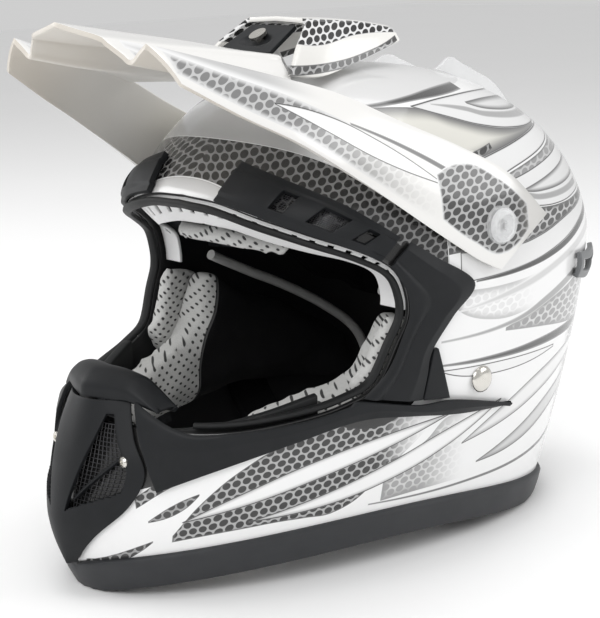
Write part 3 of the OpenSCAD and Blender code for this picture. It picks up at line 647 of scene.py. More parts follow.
scoopGraphics = [
    dict(top=[(-60, 315), (-20, 312), (26, 306)], bottom=[(-60, 300), (-40, 298), (-8, 302), (26, 301.5)],
         fill=0.75, rim=0.5, soft=0.5, cells=0.012),
    dict(top=[(-72, 289), (-36, 288), (0, 293), (24, 300)],
         bottom=[(-72, 283), (-36, 283), (0, 288.5), (24, 297)], fill=0.4, rim=0.1, soft=1.5, cells=0.06),
]


@once
def scoopFinish():
    f = Finish("scoopPaint")
    x = f.split(f.place())[0]
    along, up = sideView(f)
    plain = ((0.78, 0.77, 0.74), (0.82, 0.81, 0.78))
    sides = layered(f, scoopGraphics, plain, along, up, 6, 9)
    tint = f.blend(f.ramp(abs(x) * 1000, 24.2, 24.9), f.blend(f.noise(9), *plain), sides)
    return f.done(Base_Color=tint, Roughness=0.25, Coat_Weight=0.3)


camera = dict(place=(0.7485, -0.6396, 0.3562), aim=(0.0021, -0.0117, 0.1349), roll=-1.9, lens=93.84)
studio = dict(worldGlow=0.62, floorSize=6.0)
lamps = [  # name, place, aim, size, watts
    ("keySoftbox", (0.9, -1.5, 1.5), (0, 0, 0.15), 1.1, 15),
    ("topSoftbox", (-0.1, 0.1, 1.9), (0, 0, 0.15), 1.4, 12),
    ("rearSoftbox", (1.3, 1.2, 0.9), (0, 0.1, 0.15), 0.9, 8),
    ("farSoftbox", (-1.6, -0.9, 0.8), (0, -0.1, 0.15), 1.0, 9),
]


def addCamera():
    data = bpy.data.cameras.new("mainCamera")
    data.lens = camera["lens"]
    data.clip_end = 20
    piece = bpy.data.objects.new("mainCamera", data)
    bpy.context.scene.collection.objects.link(piece)
    look = Vector(camera["aim"]) - Vector(camera["place"])
    turn = look.to_track_quat("-Z", "Y").to_matrix() @ Matrix.Rotation(math.radians(camera["roll"]), 3, "Z")
    piece.location = camera["place"]
    piece.rotation_euler = turn.to_euler()
    bpy.context.scene.camera = piece


def addLamps():
    for name, place, aim, size, watts in lamps:
        data = bpy.data.lights.new(name, "AREA")
        data.size = size
        data.energy = watts
        lamp = bpy.data.objects.new(name, data)
        lamp.location = place
        lamp.rotation_euler = (Vector(aim) - Vector(place)).to_track_quat("-Z", "Y").to_euler()
        bpy.context.scene.collection.objects.link(lamp)
    world = bpy.data.worlds.new("studioWorld")
    world.use_nodes = True
    world.node_tree.nodes["Background"].inputs["Color"].default_value = (1, 1, 1, 1)
    world.node_tree.nodes["Background"].inputs["Strength"].default_value = studio["worldGlow"]
    bpy.context.scene.world = world


def addFloor():
    bm = bmesh.new()
    bmesh.ops.create_grid(bm, x_segments=1, y_segments=1, size=studio["floorSize"])
    bmesh.ops.translate(bm, verts=bm.verts, vec=(0, 0, -0.0003))
    mesh = bpy.data.meshes.new("floor")
    bm.to_mesh(mesh)
    bm.free()
    floor = bpy.data.objects.new("floor", mesh)
    bpy.context.scene.collection.objects.link(floor)
    floor.data.materials.append(floorFinish())


bpy.context.scene.view_settings.view_transform = "Standard"
addCamera()
addLamps()
print("camera and lamps set")


def outward(bm, centre=(0, 0, 150)):
    # turns every face round if together they look at the centre
    middle = inPlace(centre)
    bm.normal_update()
    if sum(f.normal.dot(f.calc_center_median() - middle) * f.calc_area() for f in bm.faces) < 0:
        bmesh.ops.reverse_faces(bm, faces=bm.faces)


def sheetOf(columns, rows, place, keep=None, pole=False, centre=(0, 0, 150)):
    # a grid over (u, v) from 0 to 1, carried to millimetre places by place(u, v)
    bm = bmesh.new()
    bmesh.ops.create_grid(bm, x_segments=columns, y_segments=rows, size=0.5)
    if keep:
        spots = [(f, f.calc_center_median()) for f in bm.faces]
        lost = [f for f, c in spots if not keep(c.x + 0.5, c.y + 0.5)]
        bmesh.ops.delete(bm, geom=lost, context="FACES")
    along = bm.loops.layers.uv.new("along")
    for face in bm.faces:
        for loop in face.loops:
            loop[along].uv = (loop.vert.co.x + 0.5, loop.vert.co.y + 0.5)
    top = [v for v in bm.verts if v.co.y > 0.4999]
    for vert in bm.verts:
        vert.co = inPlace(place(vert.co.x + 0.5, vert.co.y + 0.5))
    if pole:
        bmesh.ops.pointmerge(bm, verts=top, merge_co=sum((v.co for v in top), Vector()) / len(top))
    bmesh.ops.remove_doubles(bm, verts=bm.verts, dist=0.00003)
    outward(bm, centre)
    return bm


def mirrored(bm):
    bmesh.ops.scale(bm, vec=(-1, 1, 1), verts=bm.verts)
    bmesh.ops.reverse_faces(bm, faces=bm.faces)
    return bm


def asObject(bm, name, material, sharp=35):
    mesh = bpy.data.meshes.new(name)
    bm.to_mesh(mesh)
    bm.free()
    mesh.shade_smooth()
    mesh.set_sharp_from_angle(angle=math.radians(sharp))
    mesh.materials.append(material)
    piece = bpy.data.objects.new(name, mesh)
    bpy.context.scene.collection.objects.link(piece)
    return piece


def settle(piece, body, nodes):
    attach(piece, body)
    if nodes:
        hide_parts(*nodes)


def finishPiece(bm, name, material, body, nodes, slotName, wall=0, edge=0, segments=2, sharp=35,
                inside=None):
    piece = asObject(bm, name, material, sharp)
    if inside:
        piece.data.materials.append(inside)
    if wall:
        made = piece.modifiers.new("wall", "SOLIDIFY")
        made.thickness = wall * mm
        made.offset = -1
        made.use_even_offset = True
        made.material_offset = made.material_offset_rim = 1 if inside else 0
    if edge:
        made = piece.modifiers.new("edge", "BEVEL")
        made.width = edge * mm
        made.segments = segments
        made.limit_method = "ANGLE"
        made.angle_limit = math.radians(sharp)
    settle(piece, body, nodes)
    return piece


def bothSides(maker, name, material, body, node, slotName, **how):
    # the left piece and its mirror twin
    for word, turn in (("Left", lambda bm: bm), ("Right", mirrored)):
        nodes = (f"{node}_{word.lower()}",) if node else ()
        finishPiece(turn(maker()), name + word, material, body, nodes, slotName, **how)


def panelSheet(low, high, height, columns, rows, keep=None):
    # a panel on the skin between two rails; height(u, v) is how far its face stands off
    def spot(u, v):
        return onSkin(mix(rail(low, u), rail(high, u), v), height(u, v))
    return sheetOf(columns, rows, spot, keep)


def rise(t, width):
    # quick smooth rise from 0 to 1 over width at both ends of 0 to 1
    near = clamp(min(t, 1 - t) / width)
    return near * near * (3 - 2 * near)


def tube(points, radius, sides=8):
    # a closed round tube of radius through points
    bm = bmesh.new()
    rings = []
    for k, point in enumerate(points):
        ahead = Vector(points[min(k + 1, len(points) - 1)]) - Vector(points[max(k - 1, 0)])
        turn = ahead.to_track_quat("Z", "Y").to_matrix().to_4x4()
        made = bmesh.ops.create_circle(bm, segments=sides, radius=radius * mm,
                                       matrix=Matrix.Translation(inPlace(point)) @ turn)
        rings.append(made["verts"])
    for a, b in zip(rings, rings[1:]):
        edges = [e for e in bm.edges if all(v in a for v in e.verts) or all(v in b for v in e.verts)]
        bmesh.ops.bridge_loops(bm, edges=edges)
    bmesh.ops.holes_fill(bm, edges=bm.edges)
    bmesh.ops.recalc_face_normals(bm, faces=bm.faces)
    return bm


def turned(profile, place, axis=(1, 0, 0), steps=32):
    # a solid turned about axis at place; profile is (radius, height) from the axis back to the axis
    bm = bmesh.new()
    verts = [bm.verts.new((r * mm, 0, h * mm)) for r, h in profile]
    edges = [bm.edges.new(pair) for pair in zip(verts, verts[1:])]
    bmesh.ops.spin(bm, geom=verts + edges, cent=(0, 0, 0), axis=(0, 0, 1), angle=2 * math.pi,
                   steps=steps, use_merge=True)
    bmesh.ops.remove_doubles(bm, verts=bm.verts, dist=0.00001)
    turn = Vector(axis).to_track_quat("Z", "Y").to_matrix().to_4x4()
    bmesh.ops.transform(bm, matrix=Matrix.Translation(inPlace(place)) @ turn, verts=bm.verts)
    bmesh.ops.recalc_face_normals(bm, faces=bm.faces)
    return bm


def joined(parts):
    # several bmeshes as one
    whole = parts[0]
    for part in parts[1:]:
        mesh = bpy.data.meshes.new("part")
        part.to_mesh(mesh)
        part.free()
        whole.from_mesh(mesh)
        bpy.data.meshes.remove(mesh)
    return whole


def meshCloth(columns, rows, place, thickness):
    # woven wire or moulded cells: the edges of a grid as thin bars
    bm = sheetOf(columns, rows, place)
    bmesh.ops.wireframe(bm, faces=bm.faces, thickness=thickness * mm, use_boundary=True, use_replace=True)
    return bm


shellGrid = dict(halfCols=28, eyeCols=10, lowRows=6, eyeRows=6, crownRows=9, fineness=3,
                 eyeUpper=4, eyeLower=9)


def beyondEye(j):
    return clamp((j - shellGrid["eyeCols"]) / (shellGrid["halfCols"] - shellGrid["eyeCols"]))


def eyeRow(j, corner, centre, rearLevel, grow):
    # the grid line that follows the opening's edge, then runs on to the rear
    last = len(eyeport) - 1
    if j <= shellGrid["eyeCols"]:
        return eyePoint(lerp(centre, corner / last, j / shellGrid["eyeCols"]), grow)
    p = eyePoint(corner / last, grow)
    return (lerp(p[0], 180, beyondEye(j)), lerp(p[1], rearLevel, beyondEye(j)))


def shellSpot(i, j, grow=0, foot=10):
    low = eyeRow(j, shellGrid["eyeLower"], 1, 105, grow)
    high = eyeRow(j, shellGrid["eyeUpper"], 0, 200, grow)
    even = 180 * j / shellGrid["halfCols"]
    lowRows, eyeRows = shellGrid["lowRows"], shellGrid["eyeRows"]
    if i <= lowRows:
        a = lerp(even, low[0], i / lowRows)
        return (a, lerp(foot + arch(a), low[1], i / lowRows))
    if i <= lowRows + eyeRows:
        t = (i - lowRows) / eyeRows
        last = len(eyeport) - 1
        a, b = eyePoint(shellGrid["eyeLower"] / last, grow), eyePoint(shellGrid["eyeUpper"] / last, grow)
        side = eyePoint(lerp(shellGrid["eyeLower"], shellGrid["eyeUpper"], t) / last, grow)
        flat, line = mix(a, b, t), mix(low, high, t)
        near = (1 - beyondEye(j)) ** 2
        return (line[0] + (side[0] - flat[0]) * near, line[1] + (side[1] - flat[1]) * near)
    k = (i - lowRows - eyeRows) / shellGrid["crownRows"]
    return (lerp(high[0], even, k), lerp(high[1], skin["topZ"], math.sin(math.radians(87.5 * k))))


def shellPlace(u, v):
    j = u * 2 * shellGrid["halfCols"]
    rows = shellGrid["lowRows"] + shellGrid["eyeRows"] + shellGrid["crownRows"]
    a, z = shellSpot(v * rows, min(j, 2 * shellGrid["halfCols"] - j))
    x, y, z = atAngle(a, z)
    return (x if j <= shellGrid["halfCols"] else -x, y, z)


def shellKeep(u, v):
    j = u * 2 * shellGrid["halfCols"]
    i = v * (shellGrid["lowRows"] + shellGrid["eyeRows"] + shellGrid["crownRows"])
    inRows = shellGrid["lowRows"] < i < shellGrid["lowRows"] + shellGrid["eyeRows"]
    return not (inRows and min(j, 2 * shellGrid["halfCols"] - j) < shellGrid["eyeCols"])


def outerShell():
    fine = shellGrid["fineness"]
    rows = shellGrid["lowRows"] + shellGrid["eyeRows"] + shellGrid["crownRows"]
    bm = sheetOf(2 * shellGrid["halfCols"] * fine, rows * fine, shellPlace, shellKeep, pole=True)
    finishPiece(bm, "outerShell", shellPaintAndShade(), "helmet", ("outer_shell",), "shell_paint",
                wall=skin["wall"], edge=0.8, sharp=50, inside=innerShell())


seal = dict(grow=-4.0, reach=1.6, middle=-1.85, depth=3.2, run=0.447)
rim = dict(reach=0.24, grows=(2.6, -5.4), depths=(-5.6, -23.6), cells=30, windowRows=(0.3, 0.72),
           windowRun=0.4,
           slopeStart=0.33, slopeRun=0.34, windowHalf=0.42)
edgeTrim = dict(section=[(2.6, -14), (3.4, -8), (3.6, -2), (3.3, 3.6), (2.2, 5), (-5, 5), (-8.1, 4),
                         (-8.1, -4),
                         (-8.1, -14), (-2, -14), (2.6, -14)])


def eyeportGasket():
    def spot(u, v):
        turn = 2 * math.pi * v
        ring = [math.copysign(abs(f) ** 0.6, f) for f in (math.cos(turn), math.sin(turn))]
        a, z = eyeLoop(lerp(-seal["run"], seal["run"], u) % 1, seal["grow"] + seal["reach"] * ring[0])
        return atAngle(a, z, seal["middle"] + seal["depth"] * ring[1])
    bm = sheetOf(180, 12, spot)
    bmesh.ops.remove_doubles(bm, verts=bm.verts, dist=1e-6)
    bmesh.ops.holes_fill(bm, edges=[e for e in bm.edges if e.is_boundary])
    bmesh.ops.recalc_face_normals(bm, faces=bm.faces)
    finishPiece(bm, "eyeportGasket", rubberFinish(), "helmet", ("eyeport_gasket",), "edge_rubber", sharp=60)


def eyeportRim():
    # white reveal with a row of triangular openings across the brow
    def spot(u, v):
        loop = lerp(-rim["reach"], rim["reach"], u) % 1
        a, z = eyeLoop(loop, lerp(*rim["grows"], v))
        return atAngle(a, z, lerp(*rim["depths"], v))

    def inWindow(u, v):
        low, high = rim["windowRows"]
        return low < v < high and abs(u - 0.5) < rim["windowRun"]

    bm = sheetOf(rim["cells"] * 3, 6, spot)
    along = bm.loops.layers.uv.active
    lost = []
    for face in bm.faces:
        us = [loop[along].uv for loop in face.loops]
        u, v = sum(p.x for p in us) / len(us), sum(p.y for p in us) / len(us)
        turn = (u * rim["cells"]) % 1
        slope = (v - rim["slopeStart"]) / rim["slopeRun"]
        share = 1 - slope if int(u * rim["cells"]) % 2 else slope
        if inWindow(u, v) and abs(turn - 0.5) < rim["windowHalf"] * share:
            lost.append(face)
    bmesh.ops.delete(bm, geom=lost, context="FACES")
    finishPiece(bm, "eyeportRim", whitePlastic(), "helmet", ("eyeport_rim",), "white_plastic",
                wall=2.0, edge=0.5, sharp=40)


def neckTrim():
    def spot(u, v):
        turn = 360 * u
        a = min(turn, 360 - turn)
        k = v * (len(edgeTrim["section"]) - 1)
        i = min(int(k), len(edgeTrim["section"]) - 2)
        d, lift = mix(edgeTrim["section"][i], edgeTrim["section"][i + 1], k - i)
        x, y, z = atAngle(a, skin["baseZ"] + arch(a) + lift, d)
        return (x if turn <= 180 else -x, y, max(0, z))
    bm = sheetOf(168, 30, spot)
    bmesh.ops.recalc_face_normals(bm, faces=bm.faces)
    finishPiece(bm, "neckTrim", edgeRubber(), "helmet", ("neck_trim",), "edge_rubber", edge=0.8, sharp=50)


def chinLip():
    low = [atAngle(a, 88.5) for a in range(-44, 45, 11)]
    high = [atAngle(a, eyePoint(1 - 0.33 * abs(a) / 44)[1] + 2) for a in range(-44, 45, 11)]
    bm = panelSheet(low, high, lambda u, v: -5.6, 48, 4)
    finishPiece(bm, "chinLip", rubberFinish(), "helmet", ("chin_lip",), "edge_rubber", wall=6.6, edge=1.2)


browVent = dict(low=[eyeEdge(1 + 0.5 * k, -0.5) for k in range(8)],
                high=[(37, -101, 235), (69, -94, 226), (95, -80, 215), (109, -66, 203.5),
                      (114.5, -57, 196.5)],
                stand=5.0, swell=2.2, windows=[(0.27, 0.345), (0.47, 0.62), (0.73, 0.82)],
                windowRows=(0.26, 0.74))
sideTrim = dict(front=[eyeEdge(9.5 - 0.94 * k, -0.5) for k in range(6)],
                rear=[(116, -44, 102), (118, -42, 116), (121, -40, 131), (125, -27, 149), (127, -12, 166),
                      (122.5, -38, 184), (117, -51.5, 193.5)], bead=0.3, ridge=0.72)
chinTrim = dict(low=[(50, -183, 64), (69, -155, 75), (93, -112, 89), (106, -81, 96), (113, -49, 93),
                     (117, -12, 87), (116, 30, 82.5)],
                high=[(31.5, -180, 111)] + [eyeEdge(k, -0.5) for k in (12.6, 12, 11, 10, 9.6)]
                + [(115, -48, 100.5), (118, -20, 98), (116, 31, 84.5)], stand=4.4)
hingeTrim = dict(low=[(116, -43, 101.5), (118, -24, 99.5)], high=[(121, -39, 131), (122, -36, 131.5)])


def browVents():
    def height(u, v):
        dip = 0 if 0.2 < v < 0.8 else 0.8
        return browVent["stand"] + browVent["swell"] * math.sin(math.pi * v) * rise(u, 0.2) - dip

    def keep(u, v):
        low, high = browVent["windowRows"]
        return not (low < v < high and any(a < u < b for a, b in browVent["windows"]))

    bothSides(lambda: panelSheet(browVent["low"], browVent["high"], height, 90, 24, keep),
              "browVent", blackPlastic(), "helmet", "brow_vent", "black_plastic", wall=3.6, edge=0.7,
              sharp=40)
    mesh = dict(low=[(54, -113, 213.5), (88, -96, 203.5), (104, -80, 195.5)],
                high=[(62, -96, 225), (88, -84, 215.5), (104, -71, 204)])

    def wires(u, v):
        return onSkin(mix(rail(mesh["low"], u), rail(mesh["high"], u), v), 0.8)
    bothSides(lambda: meshCloth(44, 14, wires, 0.5), "browMesh", meshFinish(), "helmet", "brow_mesh",
              "vent_mesh")


def sideTrims():
    def spot(u, v):
        # u runs up the panel, v from the opening's edge back: a rounded bead, a crease, then two flat faces
        if v < sideTrim["bead"]:
            height = 3.0 + 2.2 * math.sin(math.pi * clamp(v / sideTrim["bead"]) * 0.9)
        elif v < sideTrim["ridge"]:
            height = lerp(3.7, 5.5, (v - sideTrim["bead"]) / (sideTrim["ridge"] - sideTrim["bead"]))
        else:
            height = lerp(5.5, 3.2, (v - sideTrim["ridge"]) / (1 - sideTrim["ridge"]))
        return onSkin(mix(rail(sideTrim["front"], u), rail(sideTrim["rear"], u), v), height)
    bothSides(lambda: sheetOf(60, 40, spot), "sideTrim", blackPlastic(), "helmet", "side_trim",
              "black_plastic",
              wall=2.2, edge=0.7, sharp=40)
    bothSides(lambda: panelSheet(hingeTrim["low"], hingeTrim["high"], lambda u, v: 3.4, 8, 14), "hingeTrim",
              blackPlastic(), "helmet", "hinge_trim", "black_plastic", wall=3.0, edge=0.6)


def chinTrims():
    def height(u, v):
        # a crease runs along the panel, with its lower face leaning in
        crease = lerp(0.62, 0.42, u)
        lean = 2.8 * clamp((crease - v) / crease)
        taper = 1 - 0.35 * clamp((u - 0.75) / 0.25)
        return (chinTrim["stand"] + 1.5) * taper - lean - 1.2 * clamp((v - 0.93) / 0.07)
    bothSides(lambda: panelSheet(chinTrim["low"], chinTrim["high"], height, 110, 18), "chinTrim",
              blackPlastic(),
              "helmet", "chin_trim", "black_plastic", wall=2.4, edge=0.7, sharp=30)


# outline gives the half width and the half width of the middle wedge, from the low end up
mouth = dict(low=17, high=112, outline=[(3, 1.5), (21, 4), (39, 8), (45, 13), (36, 18), (28, 21)],
             stand=3.0, swell=(5, 10), wall=2.6, window=(0.357, 0.93), windowSlant=0.13, screw=(34, 80))
noseCap = dict(profile=[(-195, 112.6), (-193, 121), (-184, 127.5), (-174, 126), (-168, 116), (-167, 104)],
               half=46, foot=112.6, flat=29)


def skinY(x, z):
    n = levelPower(-1, z)
    return -skinFront(z) * (1 - min(1, abs(x) / skinWidth(z)) ** n) ** (1 / n)


def mouthPoint(x, v, inset=0):
    # a point of the mouthpiece's face at x
    z = lerp(mouth["low"], mouth["high"], v)
    half = rail(mouth["outline"], v)[0]
    return (x, skinY(x, z) - mouth["stand"] - lerp(*mouth["swell"], v) * (1 - (x / half) ** 2) + inset, z)


def mouthSpot(u, v):
    half, crease = rail(mouth["outline"], v)
    side = abs(u - 0.5) * 2
    strut = half - min(7, half * 0.3)
    if side < 1 / 3:
        x = crease * side * 3
    elif side < 5 / 6:
        x = lerp(crease, strut, side * 2 - 2 / 3)
    else:
        x = lerp(strut, half, side * 6 - 5)
    return mouthPoint(math.copysign(x, u - 0.5), v)


def mouthpiece():
    def keep(u, v):
        # a window each side, from the wedge's crease to the strut
        side = abs(u - 0.5) * 2
        low, high = mouth["window"]
        low += mouth["windowSlant"] * clamp(side * 2 - 2 / 3)
        return not (low < v < high and 1 / 3 < side < 5 / 6)

    finishPiece(sheetOf(72, 84, mouthSpot, keep), "mouthpiece", blackPlastic(), "helmet", ("mouthpiece",),
                "black_plastic", wall=mouth["wall"], edge=0.7, sharp=40)

    def fold(u, v):
        # a louvre across each window, from the strut down to the foot of the wedge
        level = lerp(0.7, 0.42, u) + 0.05 * math.sin(math.pi * u)
        half, crease = rail(mouth["outline"], level)
        return mouthPoint(lerp(half - 7, crease + 2, u), level, lerp(3, 7, v))
    bothSides(lambda: sheetOf(24, 4, fold), "mouthFold", blackPlastic(), "helmet", "", "black_plastic",
              wall=1.6,
              edge=0.4)

    def cells(u, v):
        z = lerp(46, 98, v)
        half = rail(mouth["outline"], (z - mouth["low"]) / (mouth["high"] - mouth["low"]))[0]
        x = lerp(4, half - 4, u)
        return (x, skinY(x, z) - 0.9, z)
    bothSides(lambda: meshCloth(12, 22, cells, 0.7), "mouthMesh", meshFinish(), "helmet", "mouth_mesh",
              "vent_mesh")
    x, z = mouth["screw"]
    heads = [turned([(0, -1), (3.4, -1), (3.6, 0.2), (2.9, 1.1), (1.4, 1.2), (1.2, 0.5), (0, 0.4)],
                    (side * x, -192.3, z), axis=(0, -1, 0), steps=24) for side in (-1, 1)]
    finishPiece(joined(heads), "mouthScrews", steelFinish(), "helmet", ("mouth_screws",), "steel")


def noseCover():
    def spot(u, v):
        # the dome dies away to each side, where its foot slopes down to the chin trims
        y, z = rail(noseCap["profile"], v)
        t = lerp(-1, 1, u)
        edge = noseCap["foot"] - max(0, abs(t) * noseCap["half"] - noseCap["flat"]) * 0.36
        back = 17 * abs(t) ** 1.3 * (1 - v) + 3 * abs(t)
        return (t * noseCap["half"], y + back, edge + (z - noseCap["foot"]) * (1 - 0.85 * abs(t) ** 2.5))
    bm = sheetOf(40, 30, spot, centre=(0, -180, 108))
    finishPiece(bm, "noseCap", blackPlastic(), "helmet", ("nose_cap",), "black_plastic", wall=2.6, edge=0.8)


rearVent = dict(low=[(113, 93, 150), (101, 116, 146), (86, 138, 150)],
                high=[(112, 95, 166), (100, 118, 163), (86, 138, 163)], stand=3.8)
crownFin = dict(run=[(28, 51, 276), (28, 92, 266), (28, 127, 248), (28, 152, 229)],
                rises=[(0.4,), (10.5,), (10,), (10,), (11,), (9,), (5,), (0.4,)])


def rearVents():
    def height(u, v):
        return rearVent["stand"] + 1.6 * math.sin(math.pi * v)

    def keep(u, v):
        return not (0.3 < v < 0.7 and 0.12 < u < 0.88)
    bothSides(lambda: panelSheet(rearVent["low"], rearVent["high"], height, 50, 20, keep), "rearVent",
              greyPlastic(), "helmet", "rear_vent", "grey_plastic", wall=3.2, edge=0.7, sharp=40)


def crownFins():
    def spot(u, v):
        x, y, z = onSkin(rail(crownFin["run"], u), 0.7)
        return (x, y, z + v * rail(crownFin["rises"], u)[0])
    blades = [sheetOf(60, 6, spot)]
    blades.append(mirrored(sheetOf(60, 6, spot)))
    finishPiece(joined(blades), "crownFins", clearPlastic(), "helmet", ("crown_fin",), "clear_plastic",
                wall=2.0, edge=0.6)


peak = dict(
    low=[(86, -178, 289), (98, -148, 270), (110, -118, 253), (119, -78, 226), (127, -42, 200),
         (132, -14, 181), (133.5, -3, 175), (134, 6, 171)],
    mid=[(77, -181, 300), (89, -150, 286), (101, -118, 272), (113, -85, 250), (124, -48, 226),
         (131.5, -12, 210), (133.6, 8, 200), (134, 27, 186)],
    high=[(65, -184, 309), (76, -148, 298), (87, -116, 288), (99, -84, 277), (111, -48, 259),
          (121, -12, 242), (128, 20, 224), (133, 46, 198)],
    valley=[(50, -183.5, 300), (51, -148, 292), (50, -112, 286), (46, -70, 279)],
    crownEdge=[(33, -191, 312.5), (33, -152, 306), (33, -112, 300.5), (33, -70, 294.5)],
    crownMid=[(0, -197, 319.5), (0, -155, 312), (0, -112, 304.5), (0, -70, 296)],
    deckShare=3 / 7, wall=2.6,
)
scoop = dict(roof=[(-44, 313.5), (-25, 312), (0, 310), (26, 305.5)], foot=(46, 33), half=(29, 26), lean=28,
             footLevel=[(284,), (281,), (288,), (297,)], wall=2.6)
inlet = dict(place=(0, -57, 303), slope=30.3, front=(24, -14.5), back=(20, 13), recess=(14, 6.5))


def over(a, b, c, t):
    # a curve from a to c that passes b at the middle
    def one(p, q, r):
        return p * (1 - t) ** 2 + (2 * q - (p + r) / 2) * 2 * t * (1 - t) + r * t * t
    return tuple(one(p, q, r) for p, q, r in zip(a, b, c))


def wingSpot(u, v):
    return over(rail(peak["low"], u), rail(peak["mid"], u), rail(peak["high"], u), v)


def deckSpot(u, v):
    # v from the front edge back, u across from ridge to ridge
    side = abs(u - 0.5) * 2
    ridge = rail(peak["high"], v * peak["deckShare"])
    valley, edge, middle = (rail(peak[k], v) for k in ("valley", "crownEdge", "crownMid"))
    line = [middle, mix(edge, middle, 0.5), edge, mix(valley, edge, 0.75), mix(valley, edge, 0.3), valley,
            mix(ridge, valley, 0.5), ridge]
    x, y, z = rail(line, side)
    return (x if u > 0.5 else -x, y, z)


def peakVisor():
    left = sheetOf(84, 14, wingSpot)
    parts = [left, mirrored(sheetOf(84, 14, wingSpot)), sheetOf(56, 36, deckSpot, centre=(0, -120, 200))]
    bm = joined(parts)
    bmesh.ops.remove_doubles(bm, verts=bm.verts, dist=0.0006)
    finishPiece(bm, "peakVisor", peakFinish(), "peak", ("peak_visor",), "peak_plastic", wall=peak["wall"],
                edge=0.5, sharp=50, inside=peakInside())


def scoopSection(t, u):
    r = rail(scoop["roof"], t)
    half, foot = lerp(*scoop["half"], t), lerp(*scoop["foot"], t)
    level = rail(scoop["footLevel"], t)[0]
    lean = scoop["lean"] * (1 - t)
    line = [(0, r[0], r[1] + 1), (half - 4, r[0], r[1]), (half, r[0], r[1] - 1.5),
            (lerp(foot, half, 0.5), r[0] - lean / 2, lerp(level, r[1], 0.55)), (foot, r[0] - lean, level)]
    side = abs(u - 0.5) * 2
    k = side * 4
    i = min(int(k), 3)
    x, y, z = mix(line[i], line[i + 1], k - i)
    return (x if u > 0.5 else -x, y, z)


def peakScoop():
    bm = sheetOf(48, 24, lambda u, v: scoopSection(v, u), centre=(0, -20, 240))
    finishPiece(bm, "peakScoop", scoopFinish(), "peak", ("peak_scoop",), "peak_plastic", wall=scoop["wall"],
                edge=0.8, sharp=30)


def scoopInlet():
    # a plate with an oval recess round the middle screw
    bm = bmesh.new()
    bmesh.ops.create_grid(bm, x_segments=1, y_segments=1, size=1)
    for vert in bm.verts:
        wide, long = inlet["front"] if vert.co.y < 0 else inlet["back"]
        vert.co = Vector((math.copysign(wide, vert.co.x), long, 0)) * mm
    bmesh.ops.subdivide_edges(bm, edges=bm.edges, cuts=31, use_grid_fill=True)
    for vert in bm.verts:
        x, y = vert.co.x / mm, vert.co.y / mm + 3
        reach = math.hypot(x / inlet["recess"][0], y / inlet["recess"][1])
        vert.co.z -= 1.6 * mm * clamp((1 - reach) * 4)
    place = Matrix.Translation(inPlace(inlet["place"])) @ Matrix.Rotation(math.radians(inlet["slope"]), 4,
                                                                          "X")
    bmesh.ops.transform(bm, matrix=place, verts=bm.verts)
    outward(bm)
    finishPiece(bm, "scoopInlet", blackPlastic(), "peak", ("scoop_inlet",), "black_plastic", wall=2.4,
                edge=0.4)


liner = dict(edge=[(0, 230), (22, 228), (45, 212), (62, 192), (76, 176), (90, 165), (105, 146), (122, 122),
                   (140, 107), (180, 106)], depth=-39.6, thick=8.4, channel=2.6)
cheekPad = dict(low=[(72, -140, 64), (86, -106, 58), (95, -62, 55), (100, -30, 54), (101, 10, 53),
                     (99, 50, 51),
                     (93, 92, 48)],
                high=[(74, -138, 99), (94, -106, 106), (110, -72, 120), (114, -46, 151), (115, -14, 137),
                      (112, 34, 112), (99, 84, 80)],
                depths=(-21.5, -42), voxel=0.0045, pressure=4.0, cap=0.006)
cheekFront = dict(low=[eyeEdge(9.6 - 0.43 * k, -7) for k in range(7)],
                  high=[eyeEdge(9.6 - 0.43 * k, lerp(17, 24, 0.43 * k / 2.6)) for k in range(7)],
                  depths=(-7.5, -19), voxel=0.0035, pressure=3.0, cap=0.004)
browPad = dict(depths=(-33.5, -40), voxel=0.0035, pressure=3.0, cap=0.004)
neckRoll = dict(depths=(-11, -25.5), voxel=0.0045, pressure=4.0, cap=0.005)
piping = dict(path=[(114, -46, 154), (115, -14, 138), (113, 20, 121), (107, 55, 101), (99, 84, 80),
                    (93, 96, 58)],
              radius=3.3)


def crownLiner():
    points = liner["edge"]

    def lowest(a):
        # level of the liner's lower edge at angle a
        for (a0, z0), (a1, z1) in zip(points, points[1:]):
            if a <= a1:
                t = (a - a0) / (a1 - a0)
                return lerp(z0, z1, t * t * (3 - 2 * t))
        return points[-1][1]

    def spot(u, v):
        turn = 360 * u
        a = min(turn, 360 - turn)
        foot = lowest(a)
        z = lerp(foot, skin["topZ"], math.sin(math.radians(87.5 * v)))
        seam = min(abs((turn + 22.5) % 45 - 22.5) / 4, 1)
        band = min(abs(v - 0.45) / 0.05, 1)
        depth = liner["depth"] + liner["channel"] * (1 - min(seam if v < 0.8 else 1, band) ** 0.5)
        x, y, z = atAngle(a, z, depth + 2.2 * (1 - rise(v, 0.08)) * (v < 0.5))
        return (x if turn <= 180 else -x, y, z)

    bm = sheetOf(192, 56, spot, pole=True)
    bmesh.ops.reverse_faces(bm, faces=bm.faces)
    piece = asObject(bm, "crownLiner", linerFabric())
    made = piece.modifiers.new("wall", "SOLIDIFY")
    made.thickness = liner["thick"] * mm
    made.offset = -1
    settle(piece, "helmet", ("crown_liner",))


def closedPanel(low, high, depths, columns, rows):
    # a solid between two depths over a panel on the skin, smaller towards its rim
    def side(depth, grow):
        def spot(u, v):
            u, v = lerp(grow, 1 - grow, u), lerp(grow * 2, 1 - grow * 2, v)
            return onSkin(mix(rail(low, u), rail(high, u), v), depth)
        return sheetOf(columns, rows, spot)
    outer, inner = side(depths[0], 0.02), side(depths[1], 0.02)
    bmesh.ops.reverse_faces(inner, faces=inner.faces)
    bm = joined([outer, inner])
    bmesh.ops.bridge_loops(bm, edges=[e for e in bm.edges if e.is_boundary])
    bmesh.ops.recalc_face_normals(bm, faces=bm.faces)
    return bm


